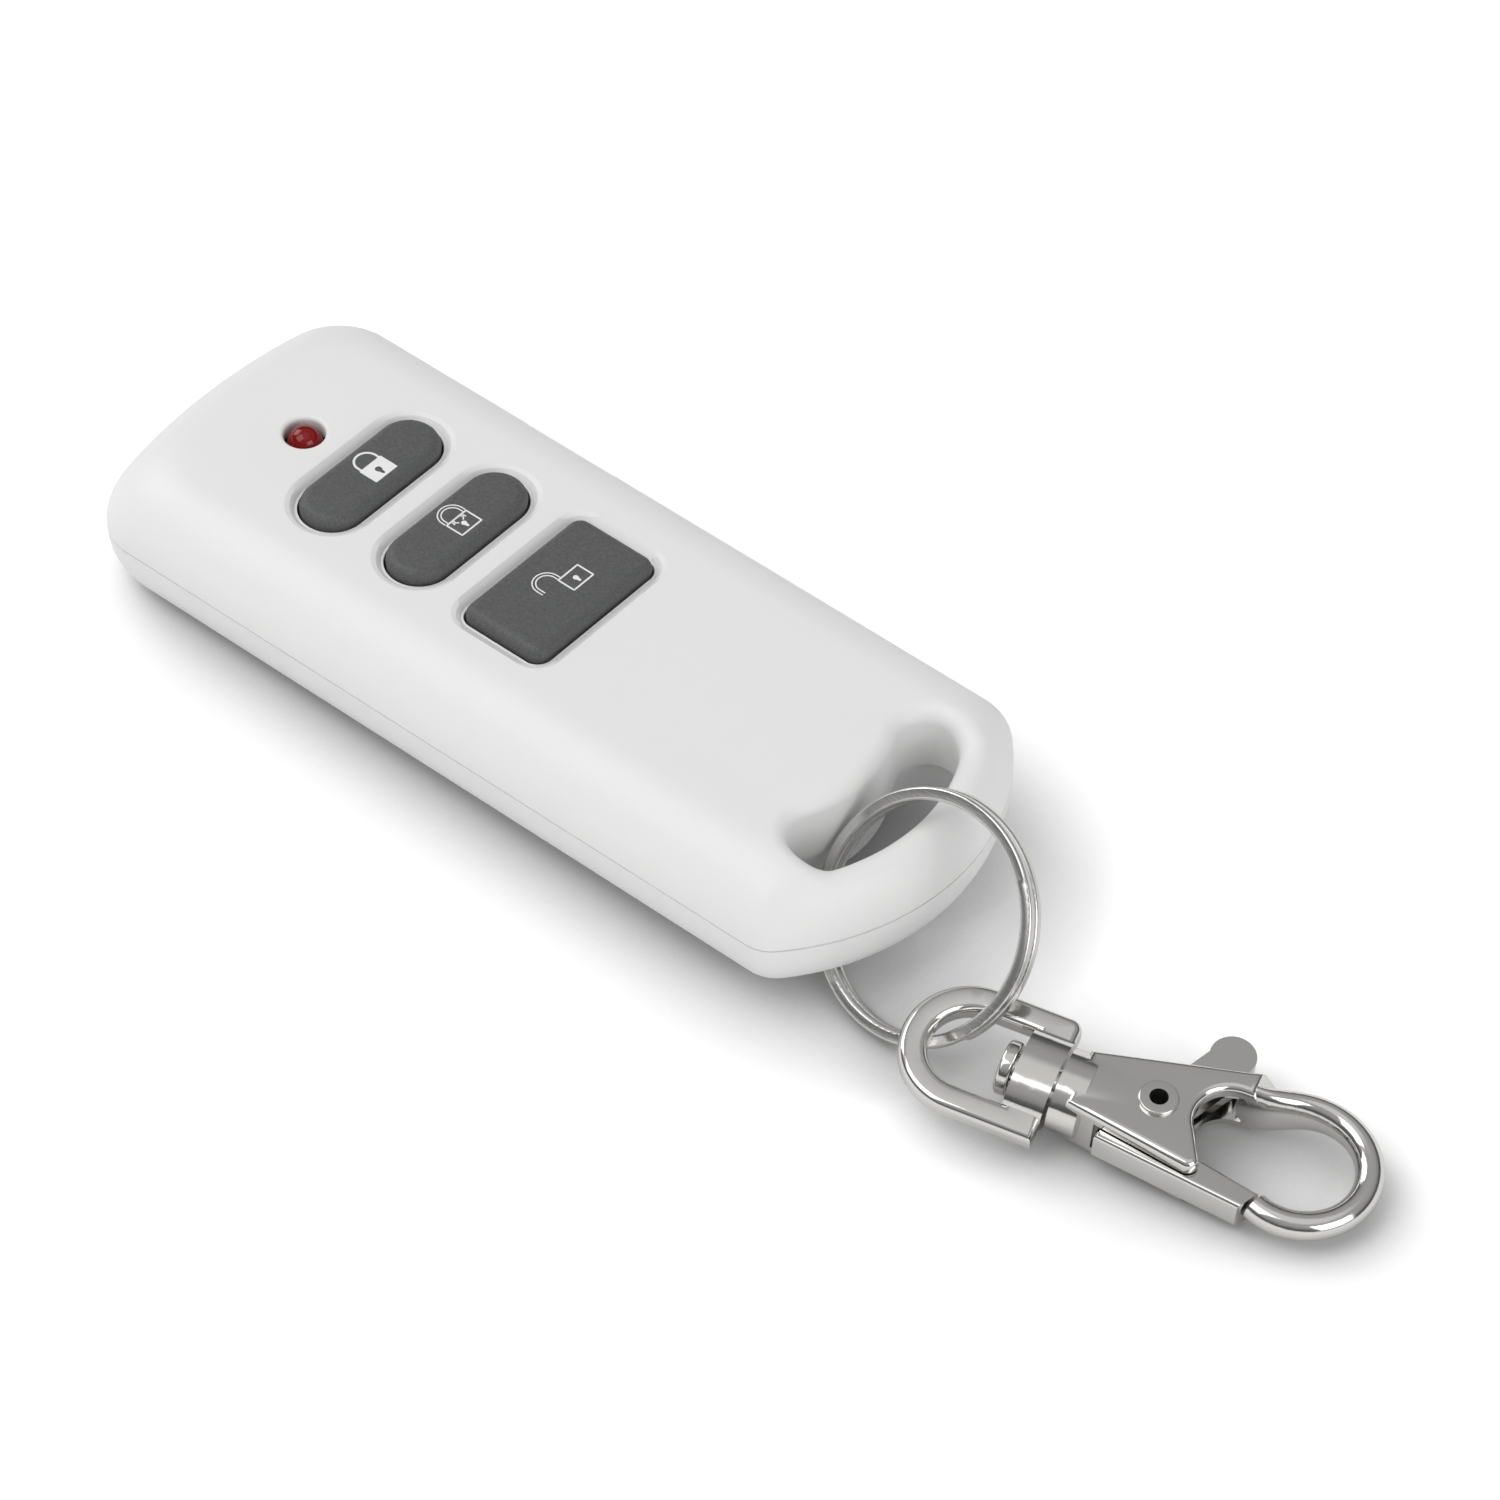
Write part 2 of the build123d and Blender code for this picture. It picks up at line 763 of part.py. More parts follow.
# Swivel eye: a D of rounded wire with a bored crossbar
with BuildPart() as swivel_eye:
    with BuildSketch(eye_plane.offset(-eye_thickness / 2)) as eye_plan:
        eye_centre = eye_width / 2 - eye_length
        with Locations((eye_centre, 0)):
            Circle(eye_width / 2)
            Rectangle(-eye_centre, eye_width, align=(Align.MIN, Align.CENTER))
        fillet(eye_plan.vertices().group_by(Axis(eye_plane.origin, eye_plane.x_dir))[-1],
               radius=eye_corner)
        with Locations((eye_centre, 0)):
            Circle(eye_width / 2 - eye_wire, mode=Mode.SUBTRACT)
            Rectangle(
                -eye_centre - eye_bar,
                eye_width - 2 * eye_wire,
                align=(Align.MIN, Align.CENTER),
                mode=Mode.SUBTRACT,
            )
    extrude(amount=eye_thickness)
    fillet(swivel_eye.faces().filter_by(eye_plane).edges(), radius=eye_edge_radius)
    with BuildSketch(square_to(eye_plane, -eye_bar)):
        Ellipse(eye_boss_width, eye_boss_height)
    extrude(amount=eye_bar)
    with BuildSketch(square_to(eye_plane, -eye_bar)):
        Circle(rivet_radius + rivet_clearance)
    extrude(amount=eye_bar, mode=Mode.SUBTRACT)
swivel_eye.part.label = "swivel_eye"


# Swivel rivet: its head turns inside the eye, and its shank is fast in the hook's barrel
with BuildPart() as swivel_rivet:
    head_start = -eye_bar - rivet_head_gap - rivet_head_height
    with BuildSketch(square_to(hook_plane, head_start)):
        Circle(rivet_head_radius)
    extrude(amount=rivet_head_height)
    fillet(swivel_rivet.edges(), radius=rivet_head_edge)
    with BuildSketch(square_to(hook_plane, head_start + rivet_head_height / 2)):
        Circle(rivet_radius)
    extrude(amount=barrel_start + rivet_grip - head_start - rivet_head_height / 2)
swivel_rivet.part.label = "swivel_rivet"


def bow_section(turn, width, height):
    """Elliptical section of the hook's wire, at an angle round the bow's centre."""
    outwards = hook_plane.x_dir * cos(radians(turn)) + hook_plane.y_dir * sin(radians(turn))
    centre = hook_plane.from_local_coords(Vector(bow_u, bow_v, 0))
    return wire_section(centre + outwards * bow_radius, outwards, width, height)


def wire_section(place, outwards, width, height):
    """Elliptical section square to the hook's wire, with its width along outwards."""
    with BuildSketch(
        Plane(origin=place, x_dir=outwards, z_dir=outwards.cross(hook_plane.z_dir))
    ) as section:
        Ellipse(width, height)
    return section.sketch


# Hook body: barrel, two cheeks round the lever's slot, and the tapering bow
with BuildPart() as hook_body:
    with BuildSketch(hook_plane.offset(-cheek_height / 2)) as cheek_plan:
        with BuildLine():
            mouth = CenterArc((mouth_u, mouth_v), mouth_radius, 90, mouth_angle)
            nose = CenterArc((nose_u, nose_v), nose_radius, 0, -90)
            Line(mouth @ 1, nose @ 0)
            Polyline(
                nose @ 1,
                (cheek_start, -cheek_rear_half),
                (cheek_start, cheek_rear_half),
                (cheek_far_u, cheek_far_v),
                (root_end_u, root_end_v),
                (root_end_u, mouth_v + mouth_radius),
                mouth @ 0,
            )
        make_face()
    extrude(amount=cheek_height)
    root_face = hook_body.faces().filter_by(square_to(hook_plane, root_end_u)).sort_by(
        Axis(hook_plane.origin, hook_plane.x_dir)
    )[-1]
    chamfer(
        root_face.edges().filter_by(Axis(hook_plane.origin, hook_plane.y_dir)),
        length=root_slope_length,
        length2=root_slope_drop,
        reference=root_face,
    )
    fillet(hook_body.faces().filter_by(hook_plane).edges(), radius=cheek_edge)
    with BuildSketch(square_to(hook_plane, barrel_start)):
        Ellipse(barrel_width / 2, barrel_height / 2)
    extrude(amount=barrel_end - barrel_start)
    with BuildSketch(hook_plane.offset(-lever_slot / 2)):
        with Locations((lever_slot_start, 0)):
            Rectangle(
                lever_slot_end - lever_slot_start,
                4 * mouth_radius + 2 * cheek_far_v,
                align=(Align.MIN, Align.CENTER),
            )
    extrude(amount=lever_slot, mode=Mode.SUBTRACT)
    root = hook_plane.from_local_coords(Vector(root_u, root_v, 0))
    leaning = hook_plane.y_dir * cos(radians(root_angle)) - hook_plane.x_dir * sin(
        radians(root_angle)
    )
    wire = [wire_section(root, leaning, root_width, root_height)]
    for step in range(bow_steps + 1):
        share = step / bow_steps
        turn = bow_start_angle + (bow_tip_angle - bow_start_angle) * share
        height = bow_wire_radius + (root_height - bow_wire_radius) * bow_taper_share**(step + 1)
        wire.append(bow_section(turn, bow_wire_radius, height))
    loft(wire)
    with BuildSketch(hook_plane.offset(-cheek_height / 2)) as tip_cut:
        with Locations((pivot_u, pivot_v)):
            Circle(tip_reach)
            Rectangle(2 * tip_reach, tip_reach + nose_v, align=(Align.CENTER, Align.MIN),
                      mode=Mode.SUBTRACT)
        with Locations((nose_u + nose_radius, pivot_v)):
            Rectangle(tip_reach, 2 * tip_reach, align=(Align.MIN, Align.CENTER),
                      mode=Mode.INTERSECT)
    extrude(amount=cheek_height, mode=Mode.SUBTRACT)
    with BuildSketch(square_to(hook_plane, barrel_start)):
        Circle(rivet_radius + rivet_seat_clearance)
    extrude(amount=rivet_grip + rivet_seat_clearance, mode=Mode.SUBTRACT)
    with BuildSketch(hook_plane.offset(-cheek_height / 2)):
        with Locations((pivot_u, pivot_v)):
            Circle(eyelet_radius + rivet_seat_clearance)
    extrude(amount=cheek_height, mode=Mode.SUBTRACT)
hook_body.part.label = "hook_body"


# Gate lever: arm that closes the mouth, hub on the eyelet and thumb tab on the far side
with BuildPart() as gate_lever:
    with BuildSketch(hook_plane.offset(-gate_height / 2)) as lever_plan:
        with BuildLine():
            Polyline(
                (gate_rear_u, gate_rear_near),
                (gate_rear_u, gate_rear_far),
                (pivot_u - gate_hub_radius, pivot_v),
                (pivot_u + gate_hub_radius, pivot_v),
                (nose_u, gate_rear_far),
                (pivot_u + gate_reach, gate_tip_far),
                (pivot_u + gate_reach, gate_tip_near),
                (gate_rear_u, gate_rear_near),
            )
        make_face()
        with Locations((pivot_u, pivot_v)):
            Circle(gate_hub_radius)
    extrude(amount=gate_height)
    fillet(gate_lever.faces().filter_by(hook_plane).edges(), radius=gate_edge)
    with BuildSketch(hook_plane.offset(-gate_height / 2)) as swing:
        with Locations((pivot_u, pivot_v)):
            Circle(gate_reach)
    extrude(amount=gate_height, mode=Mode.INTERSECT)
    with BuildSketch(hook_plane.offset(-tab_height / 2)) as tab_plan:
        with BuildLine():
            neck_turn = atan2(tab_v - pivot_v, tab_u - pivot_u)
            side_u = tab_neck_width / 2 * sin(neck_turn)
            side_v = tab_neck_width / 2 * cos(neck_turn)
            Polyline(
                (pivot_u - side_u, pivot_v + side_v),
                (tab_u - side_u, tab_v + side_v),
                (tab_u + side_u, tab_v - side_v),
                (pivot_u + side_u, pivot_v - side_v),
                (pivot_u - side_u, pivot_v + side_v),
            )
        make_face()
        with Locations((tab_u, tab_v)):
            Circle(tab_radius)
    extrude(amount=tab_height)
    with BuildSketch(hook_plane.offset(gate_height / 2 - spring_pocket_depth)):
        with Locations((pivot_u, pivot_v)):
            Circle(spring_pocket_radius)
            Rectangle(gate_hub_radius, gate_hub_radius, align=(Align.MAX, Align.MIN))
    extrude(amount=spring_pocket_depth, mode=Mode.SUBTRACT)
    with BuildSketch(hook_plane.offset(-gate_height / 2)):
        with Locations((pivot_u, pivot_v)):
            Circle(eyelet_radius + eyelet_clearance)
    extrude(amount=gate_height, mode=Mode.SUBTRACT)
gate_lever.part.label = "gate_lever"


# Eyelet through the cheeks, rolled over at both ends, on which the lever turns
with BuildPart() as gate_eyelet:
    with BuildSketch(hook_plane.offset(-cheek_height / 2)):
        with Locations((pivot_u, pivot_v)):
            Circle(eyelet_radius)
    extrude(amount=cheek_height)
    for level in (-cheek_height / 2 - eyelet_flange_height, cheek_height / 2):
        with BuildSketch(hook_plane.offset(level)):
            with Locations((pivot_u, pivot_v)):
                Circle(eyelet_flange_radius)
        extrude(amount=eyelet_flange_height)
    rims = gate_eyelet.edges().filter_by(GeomType.CIRCLE).sort_by(
        Axis(hook_plane.origin, hook_plane.z_dir)
    )
    fillet([rims[0], rims[-1]], radius=eyelet_flange_height / 2)
    with BuildSketch(hook_plane.offset(-cheek_height)):
        with Locations((pivot_u, pivot_v)):
            Circle(eyelet_bore)
    extrude(amount=2 * cheek_height, mode=Mode.SUBTRACT)
gate_eyelet.part.label = "gate_eyelet"


# Torsion spring round the eyelet, in the lever's pocket
with BuildPart() as gate_spring:
    spring_level = gate_height / 2 - spring_pocket_depth + spring_gap + spring_wire / 2
    spring_centre = hook_plane.from_local_coords(Vector(pivot_u, pivot_v, spring_level))
    with BuildLine(
        Plane(origin=spring_centre, x_dir=hook_plane.x_dir, z_dir=hook_plane.z_dir)
    ) as spring_path:
        coil = Helix(spring_pitch, spring_pitch * spring_turns, spring_radius)
        Line(coil @ 1, coil @ 1 + (coil % 1) * spring_leg)
    with BuildSketch(Plane(origin=coil @ 0, z_dir=coil % 0)):
        Circle(spring_wire / 2)
    sweep(path=spring_path.wire())
gate_spring.part.label = "gate_spring"


os.makedirs("parts", exist_ok=True)
pieces = [
    front_cover,
    back_cover,
    *button_caps.values(),
    *switches.values(),
    *plungers.values(),
    circuit_board,
    processor_chip,
    radio_chip,
    crystal,
    chip_capacitors,
    antenna,
    status_led,
    coin_cell,
    battery_positive_clip,
    battery_negative_contact,
    key_ring,
    swivel_eye,
    swivel_rivet,
    hook_body,
    gate_lever,
    gate_eyelet,
    gate_spring,
]
for piece in pieces:
    export_step(piece.part, "parts/" + piece.part.label + ".step")
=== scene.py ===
"""
Looks of the alarm key fob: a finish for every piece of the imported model, the padlocks printed on
its keys, and the white studio that it lies in.

Metres throughout, in the model's own frame: +X to the key ring, +Z out of the keys.
"""
from __future__ import annotations

import logging
import math
from collections.abc import Callable
from dataclasses import dataclass
from enum import Enum

import bpy
import numpy as np
from mathutils import Matrix, Vector


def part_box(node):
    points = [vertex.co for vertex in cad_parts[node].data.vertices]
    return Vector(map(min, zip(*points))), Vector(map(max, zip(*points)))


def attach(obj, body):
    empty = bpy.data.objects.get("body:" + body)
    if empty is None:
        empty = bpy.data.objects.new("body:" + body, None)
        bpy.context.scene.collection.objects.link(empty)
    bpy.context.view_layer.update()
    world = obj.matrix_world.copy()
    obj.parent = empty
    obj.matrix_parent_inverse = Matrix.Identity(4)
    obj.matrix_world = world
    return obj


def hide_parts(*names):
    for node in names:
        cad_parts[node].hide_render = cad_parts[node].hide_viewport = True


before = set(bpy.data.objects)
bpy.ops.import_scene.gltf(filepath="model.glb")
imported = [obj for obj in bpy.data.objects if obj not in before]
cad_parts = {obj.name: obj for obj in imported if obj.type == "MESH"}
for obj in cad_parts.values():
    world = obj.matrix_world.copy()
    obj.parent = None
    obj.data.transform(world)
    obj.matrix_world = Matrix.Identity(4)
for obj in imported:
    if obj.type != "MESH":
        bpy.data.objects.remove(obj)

log = logging.getLogger("key_fob")
MM = 0.001
WHITE = (1.0, 1.0, 1.0, 1.0)
MICRON = 0.001 * MM
WELD_TOLERANCE = 0.0002 * MM
Point = tuple[float, float, float]
Colour = tuple[float, float, float]
Stops = tuple[tuple[float, float], ...]

# Hairline scratches: their direction in radians, their stretch and their band of the noise
SCRATCH_TURN: Point = (0.3, 0.5, 0.7)
SCRATCH_STRETCH: Point = (0.06, 1.0, 0.4)
SCRATCH_BAND: Stops = ((0.48, 0.0), (0.50, 1.0), (0.52, 0.0))

# Numbers of points along the marks' paths
LEG_POINTS = 5
ARC_POINTS = 25
LINE_POINTS = 12
ARROW_POINTS = 6
OUTLINE_POINTS = 97
KEYHOLE_POINTS = 49


class Body(str, Enum):
    """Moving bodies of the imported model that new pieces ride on."""

    HOUSING = "housing"
    ARM = "arm_key"
    PART_ARM = "part_arm_key"
    DISARM = "disarm_key"
    RING = "ring"
    EYE = "eye"
    HOOK = "hook"
    GATE = "gate"


class Slot(str, Enum):
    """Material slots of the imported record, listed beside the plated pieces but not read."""

    HOUSING = "housing_plastic"
    BUTTON = "button_plastic"
    LAMP = "lamp_lens"
    RING = "ring_nickel"
    CAST = "cast_nickel"


class Bench:
    """Adds nodes to a shader tree and wires them together."""

    def __init__(self, tree: bpy.types.NodeTree) -> None:
        """Keeps the tree that the nodes go into.

        Args:
            tree: The tree of a material, a world or a node group.
        """
        self.tree = tree

    def add(self, kind: str, **settings: object) -> bpy.types.Node:
        """Adds one node.

        Args:
            kind: Blender's type name of the node.
            settings: Properties of the node, by name.

        Returns:
            The new node.
        """
        node = self.tree.nodes.new(kind)
        for name, value in settings.items():
            setattr(node, name, value)
        return node

    def wire(self, source: bpy.types.NodeSocket, target: bpy.types.NodeSocket) -> None:
        """Links an output to an input."""
        self.tree.links.new(source, target)

    def maths(
        self,
        operation: str,
        first: bpy.types.NodeSocket | float,
        second: bpy.types.NodeSocket | float,
    ) -> bpy.types.NodeSocket:
        """Adds a Math node.

        Args:
            operation: The node's operation, such as MULTIPLY.
            first: A socket or a number.
            second: A socket or a number.

        Returns:
            The node's output.
        """
        node = self.add("ShaderNodeMath", operation=operation)
        for socket, value in zip(node.inputs, (first, second)):
            if isinstance(value, bpy.types.NodeSocket):
                self.wire(value, socket)
            else:
                socket.default_value = value
        return node.outputs[0]

    def mix_colour(
        self, share: bpy.types.NodeSocket, first: Colour, second: Colour
    ) -> bpy.types.NodeSocket:
        """Blends two colours by a share that varies over the surface.

        Args:
            share: How much of the second colour shows, from 0 to 1.
            first: Colour where the share is 0.
            second: Colour where the share is 1.

        Returns:
            The blended colour.
        """
        node = self.add("ShaderNodeMix", data_type="RGBA")
        self.wire(share, node.inputs[0])
        node.inputs[6].default_value = (*first, 1.0)
        node.inputs[7].default_value = (*second, 1.0)
        return node.outputs[2]

    def noise(
        self,
        place: bpy.types.NodeSocket,
        size: bpy.types.NodeSocket,
        detail: float,
        roughness: float = 0.5,
    ) -> bpy.types.NodeSocket:
        """Adds fractal noise, read at one over the size of its largest lumps.

        Args:
            place: The coordinates that it reads.
            size: Size of the largest lumps, in metres.
            detail: Number of finer layers.
            roughness: Strength of each finer layer beside the one before.

        Returns:
            The noise, from 0 to 1.
        """
        node = self.add("ShaderNodeTexNoise")
        node.inputs["Detail"].default_value = detail
        node.inputs["Roughness"].default_value = roughness
        self.wire(place, node.inputs["Vector"])
        self.wire(self.maths("DIVIDE", 1.0, size), node.inputs["Scale"])
        return node.outputs["Fac"]

    def ramp(
        self, place: bpy.types.NodeSocket, stops: Stops, interpolation: str = "LINEAR"
    ) -> bpy.types.NodeSocket:
        """Adds a grey Color Ramp.

        Args:
            place: Where the ramp is read, from 0 to 1.
            stops: Position and grey level of each stop, in order.
            interpolation: Blender's name of the way from stop to stop.

        Returns:
            The ramp's colour.
        """
        node = self.add("ShaderNodeValToRGB")
        node.color_ramp.interpolation = interpolation
        elements = node.color_ramp.elements
        while len(elements) < len(stops):
            elements.new(0.5)
        for element, (position, level) in zip(elements, stops):
            element.position = position
            element.color = (level, level, level, 1.0)
        self.wire(place, node.inputs["Fac"])
        return node.outputs["Color"]


def open_group(
    name: str, numbers: dict[str, float], outputs: tuple[str, ...]
) -> tuple[Bench, bpy.types.Node, bpy.types.Node]:
    """Starts a shader node group with a Vector input, number inputs and number outputs.

    Args:
        name: Name of the group.
        numbers: Number inputs and their defaults.
        outputs: Names of the number outputs.

    Returns:
        The group's bench, its input node and its output node.
    """
    group = bpy.data.node_groups.new(name, "ShaderNodeTree")
    group.interface.new_socket("Vector", in_out="INPUT", socket_type="NodeSocketVector")
    for label, default in numbers.items():
        socket = group.interface.new_socket(
            label, in_out="INPUT", socket_type="NodeSocketFloat"
        )
        socket.default_value = default
    for label in outputs:
        group.interface.new_socket(label, in_out="OUTPUT", socket_type="NodeSocketFloat")
    bench = Bench(group)
    return bench, bench.add("NodeGroupInput"), bench.add("NodeGroupOutput")


def grain_group() -> bpy.types.NodeTree:
    """Fine moulded or cast grain: noise times a depth is a height in metres.

    Returns:
        The group, with outputs Height in metres and Shade from 0 to 1.
    """
    found = bpy.data.node_groups.get("surface_grain")
    if found:
        return found
    bench, given, out = open_group(
        "surface_grain", {"Size": 0.2 * MM, "Depth": 4 * MICRON}, ("Height", "Shade")
    )
    lumps = bench.noise(given.outputs["Vector"], given.outputs["Size"], detail=2.0)
    bench.wire(lumps, out.inputs["Shade"])
    bench.wire(bench.maths("MULTIPLY", lumps, given.outputs["Depth"]), out.inputs["Height"])
    return bench.tree


def handling_group() -> bpy.types.NodeTree:
    """Slow changes that handling leaves: patches of polish and faint smears.

    Returns:
        The group, with outputs Roughness and Smear, a mask from 0 to 1.
    """
    found = bpy.data.node_groups.get("handling")
    if found:
        return found
    bench, given, out = open_group(
        "handling", {"Size": 6 * MM, "Low": 0.3, "High": 0.5}, ("Roughness", "Smear")
    )
    patches = bench.noise(
        given.outputs["Vector"], given.outputs["Size"], detail=4.0, roughness=0.6
    )
    span = bench.maths("SUBTRACT", given.outputs["High"], given.outputs["Low"])
    scaled = bench.maths("MULTIPLY", patches, span)
    bench.wire(bench.maths("ADD", scaled, given.outputs["Low"]), out.inputs["Roughness"])
    bench.wire(patches, out.inputs["Smear"])
    return bench.tree


def scratch_group() -> bpy.types.NodeTree:
    """Hairline scratches: the thin band where stretched noise crosses its middle value.

    Returns:
        The group, with output Height in metres.
    """
    found = bpy.data.node_groups.get("hairline_scratches")
    if found:
        return found
    bench, given, out = open_group(
        "hairline_scratches", {"Size": 0.8 * MM, "Depth": 2 * MICRON}, ("Height",)
    )
    stretch = bench.add("ShaderNodeMapping")
    stretch.inputs["Rotation"].default_value = SCRATCH_TURN
    stretch.inputs["Scale"].default_value = SCRATCH_STRETCH
    bench.wire(given.outputs["Vector"], stretch.inputs["Vector"])
    lines = bench.noise(stretch.outputs["Vector"], given.outputs["Size"], detail=3.0)
    valley = bench.ramp(lines, SCRATCH_BAND)
    bench.wire(bench.maths("MULTIPLY", valley, given.outputs["Depth"]), out.inputs["Height"])
    return bench.tree


@dataclass(frozen=True)
class Finish:
    """A surface finish: two close colours, a range of roughness and a fine grain.

    Grain size, grain depth and patch size are in metres.
    """

    name: str
    colour: Colour
    worn_colour: Colour
    smooth: float
    rough: float
    grain_size: float
    grain_depth: float
    patch_size: float = 6 * MM
    metallic: float = 0.0
    specular: float = 0.5
    scratch_depth: float = 0.0

    def material(self) -> bpy.types.Material:
        """Builds the material once.

        Returns:
            The material of this finish.
        """
        found = bpy.data.materials.get(self.name)
        if found:
            return found
        made = bpy.data.materials.new(self.name)
        made.use_nodes = True
        made.node_tree.nodes.clear()
        bench = Bench(made.node_tree)
        shader = bench.add("ShaderNodeBsdfPrincipled")
        shader.inputs["Metallic"].default_value = self.metallic
        shader.inputs["Specular IOR Level"].default_value = self.specular
        place = bench.add("ShaderNodeTexCoord").outputs["Object"]
        handling = self.group_node(bench, handling_group(), place, Size=self.patch_size,
                                   Low=self.smooth, High=self.rough)
        grain = self.group_node(bench, grain_group(), place, Size=self.grain_size,
                                Depth=self.grain_depth)
        bench.wire(self.tint(bench, place, handling, grain), shader.inputs["Base Color"])
        bench.wire(handling.outputs["Roughness"], shader.inputs["Roughness"])
        height = grain.outputs["Height"]
        if self.scratch_depth:
            scratches = self.group_node(bench, scratch_group(), place,
                                        Depth=self.scratch_depth)
            height = bench.maths("SUBTRACT", height, scratches.outputs["Height"])
        bump = bench.add("ShaderNodeBump")
        bump.inputs["Distance"].default_value = 1.0
        bench.wire(height, bump.inputs["Height"])
        bench.wire(bump.outputs["Normal"], shader.inputs["Normal"])
        self.finish_shader(bench, shader)
        output = bench.add("ShaderNodeOutputMaterial")
        bench.wire(shader.outputs[0], output.inputs["Surface"])
        return made

    @staticmethod
    def group_node(
        bench: Bench, group: bpy.types.NodeTree, place: bpy.types.NodeSocket, **numbers: float
    ) -> bpy.types.Node:
        """Places a shared effect in a material.

        Args:
            bench: The material's bench.
            group: The shared node group.
            place: The coordinates that the effect reads.
            numbers: Values of the group's number inputs.

        Returns:
            The group's node.
        """
        node = bench.add("ShaderNodeGroup", node_tree=group)
        bench.wire(place, node.inputs["Vector"])
        for label, value in numbers.items():
            node.inputs[label].default_value = value
        return node

    def tint(
        self,
        bench: Bench,
        place: bpy.types.NodeSocket,
        handling: bpy.types.Node,
        grain: bpy.types.Node,
    ) -> bpy.types.NodeSocket:
        """Colour over the surface: the worn colour shows in the smears.

        Args:
            bench: The material's bench.
            place: Object coordinates; not used.
            handling: The node of the handling group.
            grain: The node of the grain group; not used.

        Returns:
            The colour's socket.
        """
        return bench.mix_colour(handling.outputs["Smear"], self.colour, self.worn_colour)

    def finish_shader(self, bench: Bench, shader: bpy.types.Node) -> None:
        """Lets a finish add what it alone has. This one adds nothing."""


@dataclass(frozen=True)
class GrainedKey(Finish):
    """Dark key plastic, whose spark-eroded grain shows as fine lighter specks."""

    def tint(
        self,
        bench: Bench,
        place: bpy.types.NodeSocket,
        handling: bpy.types.Node,
        grain: bpy.types.Node,
    ) -> bpy.types.NodeSocket:
        """Colour over the surface: the worn colour shows on the grain's peaks.

        Args:
            bench: The material's bench.
            place: Object coordinates; not used.
            handling: The node of the handling group; not used.
            grain: The node of the grain group.

        Returns:
            The colour's socket.
        """
        return bench.mix_colour(grain.outputs["Shade"], self.colour, self.worn_colour)


@dataclass(frozen=True)
class Lens(Finish):
    """Tinted epoxy that lets some light through."""

    transmission: float = 0.35
    refraction: float = 1.54

    def finish_shader(self, bench: Bench, shader: bpy.types.Node) -> None:
        """Makes the shader partly clear.

        Args:
            bench: The material's bench; not used.
            shader: The principled shader.
        """
        shader.inputs["Transmission Weight"].default_value = self.transmission
        shader.inputs["IOR"].default_value = self.refraction


@dataclass(frozen=True)
class SolderMask(Finish):
    """Green lacquer over copper tracks, which show as lighter bands in both directions."""

    track_colour: Colour = (0.05, 0.30, 0.13)
    track_pitch: float = 2.6 * MM
    track_scatter: float = 0.6
    track_edge: float = 0.45

    def tint(
        self,
        bench: Bench,
        place: bpy.types.NodeSocket,
        handling: bpy.types.Node,
        grain: bpy.types.Node,
    ) -> bpy.types.NodeSocket:
        """Colour over the surface: straight-edged cells stand for the copper under the mask.

        Args:
            bench: The material's bench.
            place: Object coordinates.
            handling: The node of the handling group; not used.
            grain: The node of the grain group; not used.

        Returns:
            The colour's socket.
        """
        cells = bench.add("ShaderNodeTexVoronoi", distance="MANHATTAN")
        cells.inputs["Scale"].default_value = 1.0 / self.track_pitch
        cells.inputs["Randomness"].default_value = self.track_scatter
        bench.wire(place, cells.inputs["Vector"])
        edge = bench.maths("GREATER_THAN", cells.outputs["Distance"], self.track_edge)
        return bench.mix_colour(edge, self.colour, self.track_colour)


WHITE_ABS = Finish(
    "white_abs",
    colour=(0.80, 0.80, 0.797), worn_colour=(0.785, 0.785, 0.782),
    smooth=0.38, rough=0.52, grain_size=280 * MICRON, grain_depth=3.5 * MICRON,
)
KEY_GREY = GrainedKey(
    "key_grey",
    colour=(0.044, 0.045, 0.047), worn_colour=(0.132, 0.133, 0.135),
    smooth=0.50, rough=0.66, grain_size=200 * MICRON, grain_depth=18 * MICRON,
)
KEY_PRINT = Finish(
    "key_print",
    colour=(0.86, 0.86, 0.86), worn_colour=(0.78, 0.78, 0.78),
    smooth=0.45, rough=0.60, grain_size=160 * MICRON, grain_depth=4 * MICRON,
    patch_size=0.8 * MM,
)
RED_LENS = Lens(
    "red_lens",
    colour=(0.30, 0.002, 0.003), worn_colour=(0.22, 0.001, 0.002),
    smooth=0.05, rough=0.10, grain_size=600 * MICRON, grain_depth=1 * MICRON,
    patch_size=1.5 * MM, specular=0.35, transmission=0.25,
)
GREEN_MASK = SolderMask(
    "green_mask",
    colour=(0.02, 0.17, 0.07), worn_colour=(0.03, 0.20, 0.09),
    smooth=0.22, rough=0.34, grain_size=500 * MICRON, grain_depth=4 * MICRON,
)
BLACK_EPOXY = Finish(
    "black_epoxy",
    colour=(0.018, 0.018, 0.019), worn_colour=(0.035, 0.035, 0.036),
    smooth=0.42, rough=0.58, grain_size=120 * MICRON, grain_depth=6 * MICRON,
)
TAN_CERAMIC = Finish(
    "tan_ceramic",
    colour=(0.42, 0.30, 0.17), worn_colour=(0.50, 0.38, 0.24),
    smooth=0.35, rough=0.5, grain_size=100 * MICRON, grain_depth=3 * MICRON,
)
SATIN_STEEL = Finish(
    "satin_steel",
    colour=(0.60, 0.60, 0.59), worn_colour=(0.52, 0.52, 0.51),
    smooth=0.24, rough=0.36, grain_size=300 * MICRON, grain_depth=2 * MICRON,
    metallic=1.0, scratch_depth=3 * MICRON,
)
